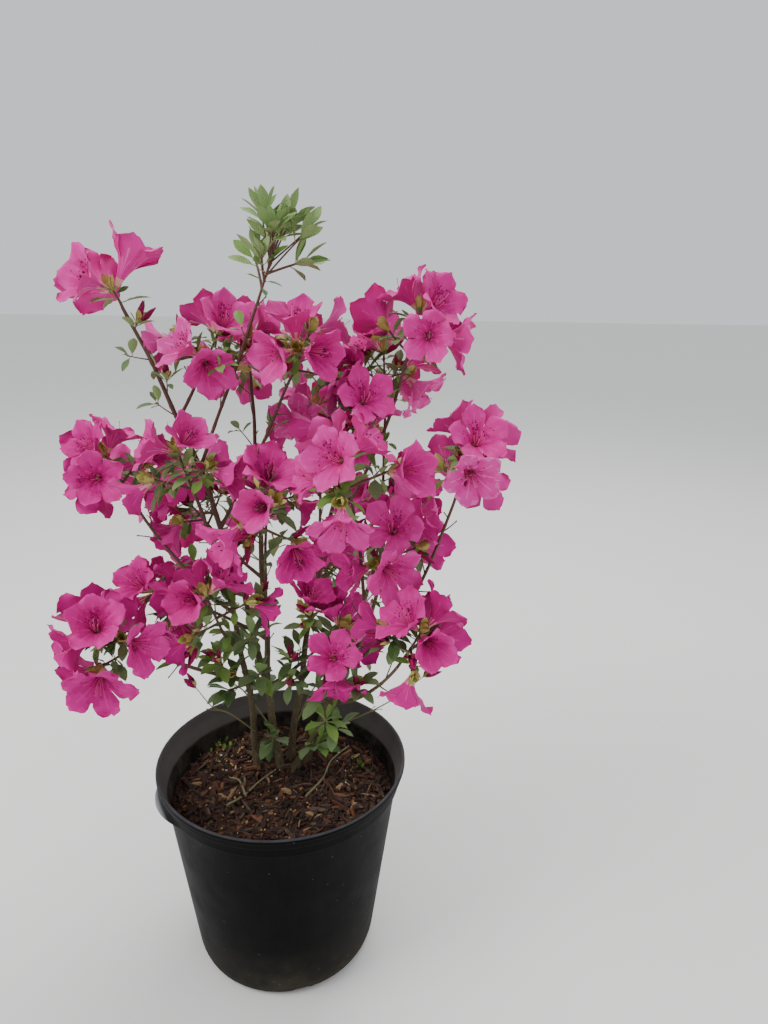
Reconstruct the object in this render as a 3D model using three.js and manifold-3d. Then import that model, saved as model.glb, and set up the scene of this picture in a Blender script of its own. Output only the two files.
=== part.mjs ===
// A potted azalea shrub in full bloom: a ribbed-lip nursery pot, its bark mix, six stems from one
// clump, their boughs, and a flowering or leafy shoot at the tip of every limb.
// Millimetres, +Z up, with the origin under the middle of the pot's flat underside.
import * as THREE from "three";
import { mergeVertices } from "three/addons/utils/BufferGeometryUtils.js";
import Module from "manifold-3d";

const wasm = await Module();
wasm.setup();

// The gap that pieces keep where they meet, and the shared volume under which two merely touch.
const CLEAR = 0.3;
const SLIVER = 0.5;

// The pot: a tapered tub with a rounded foot, a stepped lip and two finger grips.
const POT = {
  height: 243,
  rimRadius: 140,
  footRadius: 105,
  baseRadius: 92,
  footRise: 14,
  wall: 1.8,
  facets: 36,
};
const LIP = { drop: 25, ledge: 3, band: 12, bead: 3.2, roll: 2 };
const GRIP = { bearings: [205, 25], halfAngle: 20, radius: 143 };
const DRAIN = { count: 6, radius: 8, circle: 72, facets: 8 };

// The bark mix stands below the rim and falls a little towards the wall.
const SOIL = { top: 198, edgeDrop: 3, levelRadius: 100 };

// Limbs: bark-covered, round in life, with a flare where a stem leaves the ground.
// The rise and the bend are how far a limb's pull point lies along its own way.
const STEM = {
  footRadius: 4.2,
  tipRadius: 1.8,
  sides: 6,
  steps: 7,
  crowding: 1.5,
  flare: 2.2,
  flareHeight: 13,
  rise: 0.52,
};
const BOUGH = { share: 0.72, leastRadius: 1.9, tipRadius: 1.5, sides: 5, steps: 4, crowding: 1, bend: 0.42 };

// Shoots: a leader with side twigs, all three-sided, each with a truss and a whorl of leaves. The
// leader starts so far back from the middle of the shoot's space. The lone shoot has one truss at
// its tip and no twigs, and the leafy shoot is a taller, steeper fork.
const SHOOT = { spaceRadius: 86, margin: 1 };
const BLOOMING = {
  back: 34,
  length: 52,
  twigs: 3,
  firstTwig: 10,
  twigStep: 7,
  twigLengths: [24, 42],
  twigLeans: [52, 84],
};
const LONE = { ...BLOOMING, length: 18, twigs: 0 };
const LEAFY = {
  back: 60,
  length: 76,
  twigs: 5,
  firstTwig: 12,
  twigStep: 8,
  twigLengths: [30, 46],
  twigLeans: [26, 52],
};
const TUFT = { footRadius: 1.8, spaceRadius: 66, twigs: 0 };
const TWIG = { footRadius: 1.5, tipRadius: 1.2, point: 3 };
const LEAF = { length: 35, width: 14, thickness: 1, widest: 0.56, thickest: 0.34 };
const BLOSSOM = { length: 34, mouthRadius: 30, throat: 10, lobes: 5, notchReach: 0.56, notchDrop: 0.86 };
const PIECE_SIZES = [0.85, 1.05];
// How far off the middle of a twig's face a piece may spring, in degrees.
const STRAY = 12;

// What stands at the end of a twig: how many, how far below its tip, and their leans from it.
const TRUSS = { count: 3, below: 1, step: 0.5, leans: [51, 57] };
const WHORL = { count: 2, below: 9, step: 4, leans: [84, 112] };
const ROSETTE = { count: 6, below: 1, step: 2.4, leans: [16, 64] };

// Where each stem leaves the ground, and how far it leans out at its pull point, as a share of the
// way to the shoot at its tip.
const STEMS = [
  { name: "left", foot: [-36, 35], lean: 0.1 },
  { name: "middle", foot: [-8, 32], lean: 0.16 },
  { name: "right", foot: [7, 27], lean: 0.7 },
  { name: "upright", foot: [3, 46], lean: 0.3 },
  { name: "back_left", foot: [-19, 48], lean: 0.45 },
  { name: "back_right", foot: [19, 43], lean: 0.6 },
];

// The shoots, by the stem that bears them and where on it they start. A shoot that starts at 1 is
// its stem's own tip. The bearing is in degrees from +X, the reach is from the pot's axis and the
// height from the ground. A leafy shoot has no blossom, and a lone one has a single truss.
const SHOOTS = [
  { name: "left_middle", stem: "left", from: 1, bearing: 172, reach: 95, height: 575 },
  { name: "left_inner", stem: "left", from: 0.46, bearing: 186, reach: 70, height: 428 },
  { name: "left_outer", stem: "left", from: 0.6, bearing: 162, reach: 194, height: 560 },
  { name: "left_high", stem: "middle", from: 0.78, bearing: 138, reach: 98, height: 690 },
  { name: "left_top", stem: "middle", from: 1, bearing: 164, reach: 177, height: 763, lone: true },
  { name: "left_low", stem: "middle", from: 0.2, bearing: 200, reach: 168, height: 415 },
  { name: "front_low", stem: "middle", from: 0.2, bearing: 356, reach: 56, height: 395 },
  { name: "front_middle", stem: "middle", from: 0.46, bearing: 271, reach: 56, height: 549 },
  { name: "high_middle", stem: "middle", from: 0.56, bearing: 62, reach: 56, height: 695 },
  { name: "leafy_top", stem: "middle", from: 0.68, bearing: 79, reach: 32, height: 797, leafy: true },
  { name: "right_middle", stem: "right", from: 1, bearing: 354, reach: 119, height: 500 },
  { name: "right_low", stem: "right", from: 0.4, bearing: 330, reach: 165, height: 430 },
  { name: "right_outer", stem: "right", from: 0.6, bearing: 2, reach: 195, height: 585 },
  { name: "front_right", stem: "right", from: 0.75, bearing: 315, reach: 112, height: 592 },
  { name: "upright_high", stem: "upright", from: 1, bearing: 26, reach: 90, height: 622 },
  { name: "right_high", stem: "upright", from: 0.78, bearing: 20, reach: 149, height: 715 },
  { name: "back_middle", stem: "upright", from: 0.6, bearing: 79, reach: 153, height: 600 },
  { name: "back_high", stem: "back_left", from: 1, bearing: 108, reach: 147, height: 680 },
  { name: "back_left", stem: "back_left", from: 0.5, bearing: 135, reach: 160, height: 500 },
  { name: "back_left_low", stem: "back_left", from: 0.34, bearing: 150, reach: 165, height: 400 },
  { name: "back_outer", stem: "back_left", from: 0.42, bearing: 102, reach: 178, height: 500 },
  { name: "back_right", stem: "back_right", from: 1, bearing: 40, reach: 165, height: 520 },
  { name: "back_right_low", stem: "back_right", from: 0.4, bearing: 70, reach: 170, height: 410 },
  { name: "back_right_high", stem: "back_right", from: 0.7, bearing: 51, reach: 174, height: 665 },
];

// Leaf tufts that spring straight from the lower stems, each on a twig of its own length.
const TUFTS = [
  { name: "left", stem: "left", from: 0.33, bearing: 225, lift: 5, length: 26 },
  { name: "middle", stem: "middle", from: 0.24, bearing: 265, lift: 15, length: 24 },
  { name: "foot", stem: "middle", from: 0.08, bearing: 270, lift: 30, length: 20 },
  { name: "inner", stem: "upright", from: 0.36, bearing: 240, lift: 20, length: 28 },
  { name: "front_right", stem: "right", from: 0.16, bearing: 310, lift: 35, length: 22 },
  { name: "back", stem: "back_left", from: 0.18, bearing: 120, lift: 30, length: 26 },
  { name: "back_side", stem: "back_right", from: 0.24, bearing: 50, lift: 25, length: 30 },
];

const SEED = 1;
const UP = new THREE.Vector3(0, 0, 1);
// The axis along which three.js builds its cylinders, and so each twig, leaf and blossom.
const LONG_AXIS = new THREE.Vector3(0, 1, 0);

const MATERIALS = {
  pot: new THREE.MeshStandardMaterial({ color: 0x1d2024, roughness: 0.55, metalness: 0 }),
  soil: new THREE.MeshStandardMaterial({ color: 0x3d2820, roughness: 0.95, metalness: 0 }),
  bark: new THREE.MeshStandardMaterial({ color: 0x5b4a35, roughness: 0.85, metalness: 0 }),
  blossom: new THREE.MeshStandardMaterial({ color: 0xe0479f, roughness: 0.6, metalness: 0 }),
  foliage: new THREE.MeshStandardMaterial({ color: 0x6b8f4e, roughness: 0.6, metalness: 0 }),
};
for (const material of Object.values(MATERIALS)) material.flatShading = true;

// A repeatable stream of numbers from 0 to 1.
function seededRandom(seed) {
  let state = seed >>> 0;
  return () => {
    state = (state + 0x6d2b79f5) >>> 0;
    let t = Math.imul(state ^ (state >>> 15), state | 1);
    t ^= t + Math.imul(t ^ (t >>> 7), t | 61);
    return ((t ^ (t >>> 14)) >>> 0) / 4294967296;
  };
}

const radians = (degrees) => (degrees * Math.PI) / 180;
const mix = (a, b, share) => a + (b - a) * share;

function atBearing(bearing, reach, height) {
  const angle = radians(bearing);
  return new THREE.Vector3(reach * Math.cos(angle), reach * Math.sin(angle), height);
}

// A closed geometry as a solid that can be joined and cut.
function solidOf(geometry) {
  const bare = new THREE.BufferGeometry();
  const source = geometry.index ? geometry.toNonIndexed() : geometry;
  bare.setAttribute("position", source.getAttribute("position"));
  const merged = mergeVertices(bare, 1e-4);
  return new wasm.Manifold(
    new wasm.Mesh({
      numProp: 3,
      vertProperties: merged.getAttribute("position").array,
      triVerts: new Uint32Array(merged.index.array),
    }),
  );
}

// The largest body of a solid, without loose scraps and with sealed hollows filled.
function mainBody(solid) {
  return solid.decompose().reduce((a, b) => (b.volume() > a.volume() ? b : a));
}

function meshOf(solid, name, material) {
  const data = solid.getMesh();
  const positions = new Float32Array(data.numVert * 3);
  for (let i = 0; i < data.numVert; i++) {
    positions.set(data.vertProperties.subarray(i * data.numProp, i * data.numProp + 3), i * 3);
  }
  const geometry = new THREE.BufferGeometry();
  geometry.setAttribute("position", new THREE.BufferAttribute(positions, 3));
  geometry.setIndex(new THREE.BufferAttribute(data.triVerts, 1));
  geometry.computeVertexNormals();
  const mesh = new THREE.Mesh(geometry, material);
  mesh.name = name;
  return mesh;
}

// A solid of revolution about Z from [radius, height] pairs.
function turned(profile, facets) {
  const points = profile.map(([radius, height]) => new THREE.Vector2(radius, height));
  return new THREE.LatheGeometry(points, facets).rotateX(Math.PI / 2);
}

// The pot's outer wall radius at a height between its foot and its lip.
function wallRadius(height) {
  const share = (height - POT.footRise) / (POT.height - LIP.drop - POT.footRise);
  return mix(POT.footRadius, POT.rimRadius - LIP.ledge * 3, share);
}

function potGeometry() {
  const lipFoot = POT.height - LIP.drop;
  const bandFoot = POT.height - LIP.band;
  const inner = (height) => wallRadius(height) - POT.wall;
  const geometry = turned(
    [
      [0, 0],
      [POT.baseRadius, 0],
      [mix(POT.baseRadius, POT.footRadius, 0.72), POT.footRise * 0.28],
      [POT.footRadius, POT.footRise],
      [wallRadius(lipFoot), lipFoot],
      [POT.rimRadius - LIP.ledge * 2, lipFoot + LIP.roll],
      [POT.rimRadius - LIP.ledge * 1.6, bandFoot],
      [POT.rimRadius - LIP.ledge * 0.7, bandFoot + LIP.roll],
      [POT.rimRadius, POT.height - LIP.roll],
      [POT.rimRadius - LIP.bead / 2, POT.height],
      [POT.rimRadius - LIP.bead, POT.height],
      [POT.rimRadius - LIP.ledge * 0.7 - LIP.bead, bandFoot],
      [inner(lipFoot), lipFoot - LIP.roll],
      [inner(POT.footRise), POT.footRise],
      [POT.baseRadius, POT.wall],
      [0, POT.wall],
    ],
    POT.facets,
  );
  bulgeGrips(geometry, lipFoot + LIP.roll);
  return geometry;
}

// Draws the lip's lower edge out into finger grips at two sides.
function bulgeGrips(geometry, edgeHeight) {
  const position = geometry.getAttribute("position");
  for (let i = 0; i < position.count; i++) {
    const across = new THREE.Vector2(position.getX(i), position.getY(i));
    if (Math.abs(position.getZ(i) - edgeHeight) > CLEAR) continue;
    for (const bearing of GRIP.bearings) {
      const centre = new THREE.Vector2(1, 0).rotateAround(new THREE.Vector2(), radians(bearing));
      const share = across.angleTo(centre) / radians(GRIP.halfAngle);
      if (share >= 1) continue;
      across.setLength(mix(across.length(), GRIP.radius, Math.cos((share * Math.PI) / 2)));
      position.setXYZ(i, across.x, across.y, position.getZ(i));
    }
  }
}

function potSolid() {
  const holes = Array.from({ length: DRAIN.count }, (_, i) => {
    const place = atBearing((360 * (i + 0.5)) / DRAIN.count, DRAIN.circle, 0);
    const hole = new THREE.CylinderGeometry(DRAIN.radius, DRAIN.radius, POT.wall * 4, DRAIN.facets);
    return solidOf(hole.rotateX(Math.PI / 2).translate(place.x, place.y, 0));
  });
  return holes.reduce((pot, hole) => pot.subtract(hole), solidOf(potGeometry()));
}

function soilSolid() {
  const fit = (height) => wallRadius(height) - POT.wall - CLEAR;
  const edge = SOIL.top - SOIL.edgeDrop;
  return solidOf(
    turned(
      [
        [0, POT.wall + CLEAR],
        [POT.baseRadius - CLEAR, POT.wall + CLEAR],
        [fit(POT.footRise), POT.footRise + CLEAR],
        [fit(edge), edge],
        [SOIL.levelRadius, SOIL.top],
        [0, SOIL.top],
      ],
      POT.facets,
    ),
  );
}

// The places along a curve, each with its centre and two cross directions that don't twist.
function stations(curve, shares) {
  let across = new THREE.Vector3(1, 0, 0);
  return shares.map((share) => {
    const heading = curve.getTangentAt(share).normalize();
    across = across.clone().addScaledVector(heading, -across.dot(heading)).normalize();
    const beside = new THREE.Vector3().crossVectors(across, heading);
    return { share, centre: curve.getPointAt(share), across, beside };
  });
}

// A tapering limb: the rings of a cylinder moved onto the stations of a curve. A stem's lowest ring
// lies level, on the mix.
function limbGeometry(limb, grow = 0) {
  const { sides, steps } = limb;
  const shares = Array.from({ length: steps + 1 }, (_, i) => (i / steps) ** limb.crowding);
  const rings = stations(limb.curve, shares);
  const geometry = new THREE.CylinderGeometry(1, 1, 1, sides, steps);
  const position = geometry.getAttribute("position");
  for (let i = 0; i < position.count; i++) {
    const ring = rings[Math.round((position.getY(i) + 0.5) * steps)];
    const radius = limb.radiusAt(ring.share) + grow;
    const point = ring.centre
      .clone()
      .addScaledVector(ring.across, position.getX(i) * radius)
      .addScaledVector(ring.beside, position.getZ(i) * radius);
    if (limb.cutLevel && ring.share === 0) point.z = ring.centre.z;
    position.setXYZ(i, point.x, point.y, point.z);
  }
  return geometry;
}

const kindOf = (shoot) => (shoot.leafy ? LEAFY : shoot.lone ? LONE : BLOOMING);

// A limb bends from its start, through a pull point, and ends short of its shoot's centre, headed
// straight at it.
function limbCurve(start, pull, centre, back) {
  const heading = centre.clone().sub(pull).normalize();
  const end = centre.clone().addScaledVector(heading, -back);
  return new THREE.QuadraticBezierCurve3(start, pull, end);
}

function stemLimb(stem, shoot) {
  const start = new THREE.Vector3(...stem.foot, SOIL.top + CLEAR);
  const centre = atBearing(shoot.bearing, shoot.reach, shoot.height);
  const pull = start
    .clone()
    .addScaledVector(UP, (centre.z - start.z) * STEM.rise)
    .add(centre.clone().sub(start).setZ(0).multiplyScalar(stem.lean));
  const curve = limbCurve(start, pull, centre, BLOOMING.back);
  const length = curve.getLength();
  return {
    name: "stem_" + stem.name,
    curve,
    cutLevel: true,
    ...STEM,
    radiusAt: (share) =>
      mix(STEM.footRadius, STEM.tipRadius, share) +
      STEM.flare * Math.exp((-share * length) / STEM.flareHeight),
  };
}

function boughLimb(host, shoot) {
  const start = host.curve.getPointAt(shoot.from);
  const centre = atBearing(shoot.bearing, shoot.reach, shoot.height);
  const span = centre.distanceTo(start);
  const pull = start
    .clone()
    .addScaledVector(host.curve.getTangentAt(shoot.from), (span * BOUGH.bend) / 2)
    .add(centre.clone().sub(start).setZ(0).multiplyScalar(BOUGH.bend));
  const footRadius = Math.max(host.radiusAt(shoot.from) * BOUGH.share, BOUGH.leastRadius);
  return {
    name: "bough_" + shoot.name,
    curve: limbCurve(start, pull, centre, kindOf(shoot).back),
    ...BOUGH,
    radiusAt: (share) => mix(footRadius, BOUGH.tipRadius, share),
  };
}

// A frame at a place, with its +Y axis along a heading and turned about it.
function frameAt(place, heading, twist) {
  const turn = new THREE.Quaternion().setFromUnitVectors(LONG_AXIS, heading);
  turn.multiply(new THREE.Quaternion().setFromAxisAngle(LONG_AXIS, twist));
  return new THREE.Matrix4().compose(place, turn, new THREE.Vector3(1, 1, 1));
}

// A frame on a twig's own frame: so far along the twig, leaning out over one of its three faces.
function frameOn(twig, along, face, lean, random) {
  const bearing = radians((face + 0.5) * 120 + mix(-STRAY, STRAY, random()));
  const heading = new THREE.Vector3(
    Math.sin(bearing) * Math.sin(radians(lean)),
    Math.cos(radians(lean)),
    Math.cos(bearing) * Math.sin(radians(lean)),
  );
  const mount = frameAt(new THREE.Vector3(0, along, 0), heading, Math.PI * 2 * random());
  return twig.clone().multiply(mount);
}

// A twig up its own +Y axis. Its foot is pointed where it springs from inside another twig.
function twigGeometry({ length, footRadius, pointed }) {
  const profile = [
    new THREE.Vector2(0, 0),
    new THREE.Vector2(footRadius, pointed ? TWIG.point : 0),
    new THREE.Vector2(TWIG.tipRadius, length),
    new THREE.Vector2(0, length),
  ];
  return new THREE.LatheGeometry(profile, 3);
}

// A pointed blade of eight faces that starts at its own origin.
function leafGeometry(size) {
  const geometry = new THREE.OctahedronGeometry(1, 0);
  const position = geometry.getAttribute("position");
  for (let i = 0; i < position.count; i++) {
    const [x, y, z] = [position.getX(i), position.getY(i), position.getZ(i)].map(Math.round);
    const along = x ? LEAF.widest : z ? LEAF.thickest : (y + 1) / 2;
    position.setXYZ(
      i,
      (x * LEAF.width * size) / 2,
      along * LEAF.length * size,
      (z * LEAF.thickness) / 2,
    );
  }
  return geometry;
}

// A funnel with lobes: every second point of the rim is drawn in.
function blossomGeometry(size) {
  const profile = [
    new THREE.Vector2(0, 0),
    new THREE.Vector2(BLOSSOM.mouthRadius, BLOSSOM.length),
    new THREE.Vector2(0, BLOSSOM.throat),
  ];
  const geometry = new THREE.LatheGeometry(profile, BLOSSOM.lobes * 2);
  const position = geometry.getAttribute("position");
  for (let i = 1; i < position.count; i += profile.length) {
    const lobe = ((i - 1) / profile.length) % 2 === 0;
    const reach = lobe ? 1 : BLOSSOM.notchReach;
    const rise = lobe ? 1 : BLOSSOM.notchDrop;
    position.setXYZ(i, position.getX(i) * reach, position.getY(i) * rise, position.getZ(i) * reach);
  }
  return geometry.scale(size, size, size);
}

// Whether a piece keeps to its shoot's space: inside its ball, and on its own side of the plane
// between it and each other shoot's space.
function keepsToSpace(geometry, space, spaces) {
  const position = geometry.getAttribute("position");
  const point = new THREE.Vector3();
  for (let i = 0; i < position.count; i++) {
    point.fromBufferAttribute(position, i);
    const own = point.distanceToSquared(space.centre) - space.radius ** 2;
    if (own > 0) return false;
    for (const other of spaces) {
      if (other === space) continue;
      const theirs = point.distanceToSquared(other.centre) - other.radius ** 2;
      if ((theirs - own) / (2 * space.centre.distanceTo(other.centre)) < SHOOT.margin) return false;
    }
  }
  return true;
}

// Whether any face of a piece comes too near to a limb, from points along the limbs' middles.
function touchesLimb(geometry, middles) {
  const source = geometry.index ? geometry.toNonIndexed() : geometry;
  const position = source.getAttribute("position");
  source.computeBoundingSphere();
  const { center, radius } = source.boundingSphere;
  const near = middles.filter((m) => m.point.distanceTo(center) < radius + m.radius + SHOOT.margin);
  if (!near.length) return false;
  const face = new THREE.Triangle();
  const closest = new THREE.Vector3();
  for (let i = 0; i < position.count; i += 3) {
    face.setFromAttributeAndIndices(position, i, i + 1, i + 2);
    for (const m of near) {
      face.closestPointToPoint(m.point, closest);
      if (closest.distanceTo(m.point) < m.radius + SHOOT.margin) return true;
    }
  }
  return false;
}

// Points along the middle of every limb, each with the limb's radius there.
function limbMiddles(limbs) {
  const spacing = 2;
  return limbs.flatMap((limb) => {
    const count = Math.ceil(limb.curve.getLength() / spacing);
    return Array.from({ length: count + 1 }, (_, i) => ({
      point: limb.curve.getPointAt(i / count),
      radius: limb.radiusAt(i / count),
    }));
  });
}

// The frames of what stands on a twig, tier by tier down from its tip, face after face.
function tiers(twig, rule, random) {
  return Array.from({ length: rule.count }, (_, i) => {
    const lean = mix(...rule.leans, (i + random()) / rule.count);
    const along = twig.length - rule.below - rule.step * i;
    const frame = frameOn(twig.frame, along, i % 3, lean, random);
    return { frame, size: mix(...PIECE_SIZES, random()) };
  });
}

// The twigs of a shoot: its leader, then side twigs that leave the leader at even steps.
function twigsOf(shoot, random) {
  const leader = {
    frame: frameAt(shoot.foot, shoot.axis, Math.PI * 2 * random()),
    length: shoot.length,
    footRadius: shoot.footRadius,
  };
  const sides = Array.from({ length: shoot.twigs }, (_, i) => {
    const along = shoot.firstTwig + shoot.twigStep * i;
    return {
      frame: frameOn(leader.frame, along, i % 3, mix(...shoot.twigLeans, random()), random),
      length: mix(...shoot.twigLengths, random()),
      footRadius: TWIG.footRadius,
      pointed: true,
    };
  });
  return [leader, ...sides];
}

// One shoot as a single solid: its stem, its twigs, and every blossom and leaf that has room.
function shootSolid(shoot, spaces, middles, random) {
  const fits = (geometry) => keepsToSpace(geometry, shoot, spaces) && !touchesLimb(geometry, middles);
  const [leader, ...sides] = twigsOf(shoot, random);
  const rodOf = (twig) => twigGeometry(twig).applyMatrix4(twig.frame);
  const twigs = [leader, ...sides.filter((twig) => fits(rodOf(twig)))];
  const standing = [];
  const stand = (geometry) => {
    if (!fits(geometry)) return;
    const solid = solidOf(geometry);
    if (standing.every((other) => other.intersect(solid).volume() < SLIVER)) standing.push(solid);
  };
  const trusses = shoot.leafy ? [] : twigs.flatMap((twig) => tiers(twig, TRUSS, random));
  for (const { size, frame } of trusses) stand(blossomGeometry(size).applyMatrix4(frame));
  const whorls = twigs.flatMap((twig) => tiers(twig, shoot.leafy ? ROSETTE : WHORL, random));
  for (const { size, frame } of whorls) stand(leafGeometry(size).applyMatrix4(frame));
  return wasm.Manifold.union([...twigs.map((twig) => solidOf(rodOf(twig))), ...standing]);
}

const azalea = new THREE.Group();
azalea.add(meshOf(potSolid(), "pot", MATERIALS.pot));
azalea.add(meshOf(soilSolid(), "soil", MATERIALS.soil));

// Limbs: every stem first, then the boughs, each cut clear of the stem that bears it.
const stems = new Map(
  STEMS.map((stem) => {
    const leader = SHOOTS.find((shoot) => shoot.stem === stem.name && shoot.from === 1);
    return [stem.name, stemLimb(stem, leader)];
  }),
);
const limbOf = new Map(
  SHOOTS.map((shoot) => {
    const host = stems.get(shoot.stem);
    return [shoot, shoot.from === 1 ? host : boughLimb(host, shoot)];
  }),
);
for (const limb of stems.values()) {
  azalea.add(meshOf(solidOf(limbGeometry(limb)), limb.name, MATERIALS.bark));
}
for (const [shoot, limb] of limbOf) {
  if (shoot.from === 1) continue;
  const hostGrown = solidOf(limbGeometry(stems.get(shoot.stem), CLEAR));
  const bough = mainBody(solidOf(limbGeometry(limb)).subtract(hostGrown));
  azalea.add(meshOf(bough, limb.name, MATERIALS.bark));
}

// Where each shoot starts, and the space that it keeps to.
const growing = SHOOTS.map((shoot) => {
  const { curve } = limbOf.get(shoot);
  const axis = curve.getTangentAt(1).normalize();
  const foot = curve.getPointAt(1).addScaledVector(axis, CLEAR);
  const centre = atBearing(shoot.bearing, shoot.reach, shoot.height);
  return {
    ...shoot,
    ...kindOf(shoot),
    name: (shoot.leafy ? "leaves_" : "bloom_") + shoot.name,
    axis,
    foot,
    footRadius: limbOf.get(shoot).radiusAt(1),
    centre,
    radius: SHOOT.spaceRadius,
  };
});
for (const tuft of TUFTS) {
  const host = stems.get(tuft.stem);
  const start = host.curve.getPointAt(tuft.from);
  const axis = atBearing(tuft.bearing, Math.cos(radians(tuft.lift)), Math.sin(radians(tuft.lift)));
  growing.push({
    name: "leaves_tuft_" + tuft.name,
    leafy: true,
    host,
    axis,
    foot: start,
    length: tuft.length,
    footRadius: TUFT.footRadius,
    twigs: TUFT.twigs,
    centre: start.clone().addScaledVector(axis, tuft.length),
    radius: TUFT.spaceRadius,
  });
}

const middles = limbMiddles([...new Set(limbOf.values())]);
growing.forEach((shoot, index) => {
  const random = seededRandom(SEED + index);
  let solid = shootSolid(shoot, growing, middles, random);
  if (shoot.host) solid = solid.subtract(solidOf(limbGeometry(shoot.host, CLEAR)));
  const material = shoot.leafy ? MATERIALS.foliage : MATERIALS.blossom;
  azalea.add(meshOf(mainBody(solid), shoot.name, material));
});

export default azalea;
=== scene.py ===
"""A potted azalea shrub in full bloom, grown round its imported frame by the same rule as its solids."""

import math
from dataclasses import dataclass
from functools import cache

import bmesh
import bpy
import numpy as np
from bpy.props import FloatProperty, FloatVectorProperty, IntProperty, PointerProperty
from mathutils import Matrix, Vector, kdtree, noise


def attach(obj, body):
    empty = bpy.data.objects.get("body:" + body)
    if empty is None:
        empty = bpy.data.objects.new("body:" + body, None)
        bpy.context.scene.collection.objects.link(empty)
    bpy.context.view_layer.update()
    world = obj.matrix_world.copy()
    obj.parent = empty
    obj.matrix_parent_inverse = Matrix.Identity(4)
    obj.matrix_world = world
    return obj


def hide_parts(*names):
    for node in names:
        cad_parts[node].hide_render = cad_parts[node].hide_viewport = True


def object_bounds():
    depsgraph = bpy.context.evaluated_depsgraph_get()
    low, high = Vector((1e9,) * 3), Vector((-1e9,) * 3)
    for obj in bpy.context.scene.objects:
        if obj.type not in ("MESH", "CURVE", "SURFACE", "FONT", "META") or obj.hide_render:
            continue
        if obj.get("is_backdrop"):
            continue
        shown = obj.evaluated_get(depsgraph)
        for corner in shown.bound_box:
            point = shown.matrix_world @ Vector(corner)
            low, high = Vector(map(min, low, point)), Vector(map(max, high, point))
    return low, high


bl_info = {
    "name": "Potted azalea",
    "version": (1, 0, 0),
    "blender": (4, 5, 0),
    "location": "3D View > Sidebar > Azalea",
    "description": "Builds a flowering azalea with its bark, leaves and blossoms, its pot and bark mix",
    "category": "Object",
}

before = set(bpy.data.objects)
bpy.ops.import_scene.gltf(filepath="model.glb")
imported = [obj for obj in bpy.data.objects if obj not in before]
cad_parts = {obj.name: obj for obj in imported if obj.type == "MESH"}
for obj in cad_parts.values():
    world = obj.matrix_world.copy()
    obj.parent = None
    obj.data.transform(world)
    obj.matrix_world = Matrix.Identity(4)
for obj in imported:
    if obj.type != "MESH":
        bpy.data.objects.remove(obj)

# Lengths are in millimetres until a mesh is made.
MM = 0.001
MOST_TRIANGLES = 190_000
UP = np.array((0.0, 0.0, 1.0))

# The pot, its lip and grips, and the bark mix, as in the part's source.
POT = {"height": 243, "rim": 140, "foot": 105, "base": 92, "foot_rise": 14, "wall": 1.8}
LIP = {"drop": 25, "ledge": 3, "band": 12, "bead": 3.2}
GRIP = {"bearings": (205, 25), "half_angle": 20, "radius": 143}
DRAIN = {"count": 6, "radius": 8, "circle": 72}
NOTCH = {"count": 6, "first": 286, "width": 22, "height": 9, "depth": 16}
SOIL = {"top": 198, "edge_drop": 3, "level": 100, "edge": 125, "heap": 3, "heap_reach": 14,
        "crumb": 19}

# Limbs and shoots, as in the part's source.
CLEAR = 0.3
STEM = {"foot": 4.2, "tip": 1.8, "flare": 2.2, "flare_height": 13, "rise": 0.52}
BOUGH = {"share": 0.72, "least": 1.9, "tip": 1.5, "bend": 0.42}
SHOOT_SPACE = 86
BLOOMING = {"back": 34, "length": 52, "twigs": 3, "first_twig": 10, "twig_step": 7,
            "lengths": (24, 42), "leans": (52, 84)}
LONE = {**BLOOMING, "length": 18, "twigs": 0}
LEAFY = {"back": 60, "length": 76, "twigs": 5, "first_twig": 12, "twig_step": 8,
         "lengths": (30, 46), "leans": (26, 52)}
TUFT = {"foot": 1.8, "space": 66, "twigs": 0}
TWIG = {"foot": 1.5, "tip": 1.2, "point": 3}
LEAF = {"length": 35, "width": 14, "widest": 0.56}
CONE = {"length": 34, "radius": 30, "lobes": 5}
PIECE_SIZES = (0.85, 1.05)
STRAY = 12
TRUSS = {"count": 3, "below": 1, "step": 0.5, "leans": (51, 57)}
WHORL = {"count": 2, "below": 9, "step": 4, "leans": (84, 112)}
ROSETTE = {"count": 6, "below": 1, "step": 2.4, "leans": (16, 64)}
SEED = 1

# Where each stem leaves the ground, and its lean there as a share of the way to its tip's shoot.
STEMS = {
    "left": (-36, 35, 0.1),
    "middle": (-8, 32, 0.16),
    "right": (7, 27, 0.7),
    "upright": (3, 46, 0.3),
    "back_left": (-19, 48, 0.45),
    "back_right": (19, 43, 0.6),
}

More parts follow.
